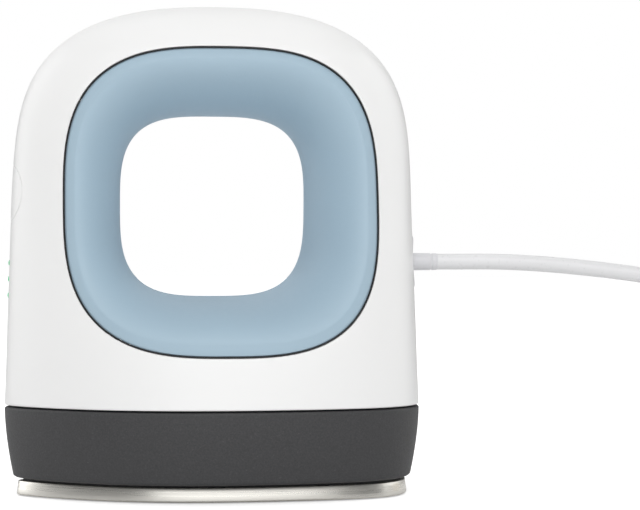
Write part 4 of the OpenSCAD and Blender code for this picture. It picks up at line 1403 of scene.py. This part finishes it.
@dataclass
class Controls:
    """The power button, the three lamps and the bushing where the cord leaves."""

    button_diameter: float = 11.8
    sleeve_end: float = -36.97
    stop: Triple = (1.0, 0.05, 0.95)
    stem: Pair = (1.6, 1.63)
    button_edge: Pair = (0.2, 0.05)
    lamp_diameter: float = 1.3
    lamp_edge: Pair = (0.12, 0.22)
    lamp_step: float = 0.1
    lamp_ends: Pair = (-33.0, -31.6)
    bar: Pair = (3.0, 9.8)
    bar_power: float = 8.0
    bar_levels: tuple[Pair, ...] = ((-34.95, 0.95), (-34.8, 1), (-33.75, 1), (-33.6, 0.95))
    nose_turn: float = 0.2
    neck: tuple[Pair, ...] = (
        (1.75, -7.0), (4.6, -7.0), (5.2, -6.45), (5.2, -6.05), (4.0, -6.05), (4.0, -1.45), (6.3, -1.45))
    dish: tuple[Pair, ...] = (
        (6.3, -0.4), (6.2, -0.25), (6.0, -0.1), (5.85, 0.04), (5.72, 0.2), (5.6, 0.33), (5.45, 0.4), (5.3, 0.38),
        (4.9, 0.24), (4.2, 0.02), (3.5, -0.16), (3.0, -0.25), (2.6, -0.27), (2.3, -0.22), (2.05, -0.08), (1.93, 0.1))
    boot: float = 5.6
    boot_root: float = 1.88
    boot_end: tuple[Pair, ...] = (
        (1.84, 2.8), (1.82, 1.6), (1.78, 1.47), (1.7, 1.4), (1.7, 1.18), (1.78, 1.1), (1.81, 1.0), (1.8, 0.3),
        (1.77, 0.12), (1.72, 0))
    flange_rise: float = 0.6
    flange_blend: float = 3.0
    flange_draw: float = 0.45

    def build(self) -> None:
        """Makes the button, the lamps and the bushing."""
        self.button()
        self.light_pipe()
        self.bushing()

    def nose(self, height: float, radius: float, rings: int, sides: int, edge: float, dome: float) -> Array:
        """A round nose that follows the housing's end, as rings from its middle out over its rounded edge.

        Args:
            height: height of its middle.
            radius: its radius.
            rings: rings before the edge.
            sides: points in a ring.
            edge: the edge's radius.
            dome: how far its middle stands proud.
        Returns:
            The rings.
        """
        roll = np.linspace(self.nose_turn, np.pi / 2, 6)
        flat = radius - edge
        r = np.concatenate([np.linspace(0.02, flat, rings), flat + edge * np.sin(roll)])[:, None]
        drop = np.concatenate([np.zeros(rings), edge * (1 - np.cos(roll))])[:, None]
        t = full_turn(sides)
        y, z = r * np.cos(t), height + r * np.sin(t)
        return beside(FORM.end_x(y, z, -1) + drop - dome * (1 - (r / radius) ** 2), y, z)

    def button(self) -> None:
        """The button: a nose flush with the housing, its barrel, the stop flange and the stem."""
        r, end, z, sides = self.button_diameter / 2, self.sleeve_end, FORM.button_height, FORM.round_sides
        over, front, back = self.stop
        stem, tip = self.stem
        rear = turned([(r, end + front), (r + over, end + front), (r + over, end + back), (stem, end + back),
                       (stem, end + tip)], sides, z)
        rings = np.concatenate([self.nose(z, r, 16, sides, *self.button_edge), rear])
        MeshData().add_skin(rings, Ends.CAPPED).piece(
            "power_key", "white_shell", ["power_button"], WHITE, body="button")

    def light_pipe(self) -> None:
        """Three clear green pins with domed noses on one carrier bar."""
        data = MeshData()
        r, sides = self.lamp_diameter / 2, FORM.lamp_sides
        front, back = self.lamp_ends
        for z in FORM.lamps:
            rear = turned([(r, front), (r - self.lamp_step, back)], sides, z)
            data.add_skin(np.concatenate([self.nose(z, r, 5, sides, *self.lamp_edge), rear]), Ends.CAPPED)
        y, z = oval(*self.bar, self.bar_power, full_turn(48)).T
        rings = [beside(x, y * s, FORM.lamps[1] + z * s) for x, s in self.bar_levels]
        data.add_skin(rings, Ends.CAPPED).piece("lamp_pins", "led_lens", ["light_pipe"], LENS)

    def bushing(self) -> None:
        """A dished flange that follows the housing's end, a short boot with a groove, and the neck inside.

        The flange's rim stands proud at its top and foot, and is drawn in towards its sides.
        """
        x = FORM.tail
        boot = [(self.boot_root, self.flange_rise), *((r, self.boot - back) for r, back in self.boot_end)]
        profile = [*self.neck, *self.dish, *boot]
        rings = turned([(r, x + out) for r, out in profile], FORM.round_sides, FORM.cord_height)
        flange = rings[len(self.neck):len(self.neck) + len(self.dish)]
        y, z = flange[..., 1], flange[..., 2]
        reach = np.hypot(y, z - FORM.cord_height)
        share = np.clip((reach - self.dish[-1][0]) / self.flange_blend, 0, 1)
        flange[..., 0] += share * (FORM.end_x(y, z, 1) - x - self.flange_draw * (y / reach) ** 2)
        MeshData().add_skin(rings, Ends.CAPPED).piece("cord_grommet", "bushing_plastic", ["cord_bushing"], BUSHING)


def dress_nodes(nodes: dict[str, bpy.types.Object]) -> None:
    """Gives every carried-over node its own finish in place of the plain one.

    Args:
        nodes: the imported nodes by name.
    """
    for name, finish in NODE_FINISHES.items():
        mesh = nodes[name].data
        if not mesh.materials:
            mesh.materials.append(None)
        for i in range(len(mesh.materials)):
            mesh.materials[i] = finish.material()
        LOG.info("node %s dressed as %s", name, finish.name)


def main() -> None:
    """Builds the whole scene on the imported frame."""
    logging.basicConfig(level=logging.INFO, format="%(name)s: %(message)s")
    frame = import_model()
    nodes = frame["nodes"]
    bpy.context.scene.view_settings.view_transform = "Standard"
    Studio().build()
    MainsCord().build(nodes)
    Housing().build()
    Grips().build()
    Base().build()
    Controls().build()
    dress_nodes(nodes)
    bpy.context.view_layer.update()


if __name__ == "__main__":
    main()
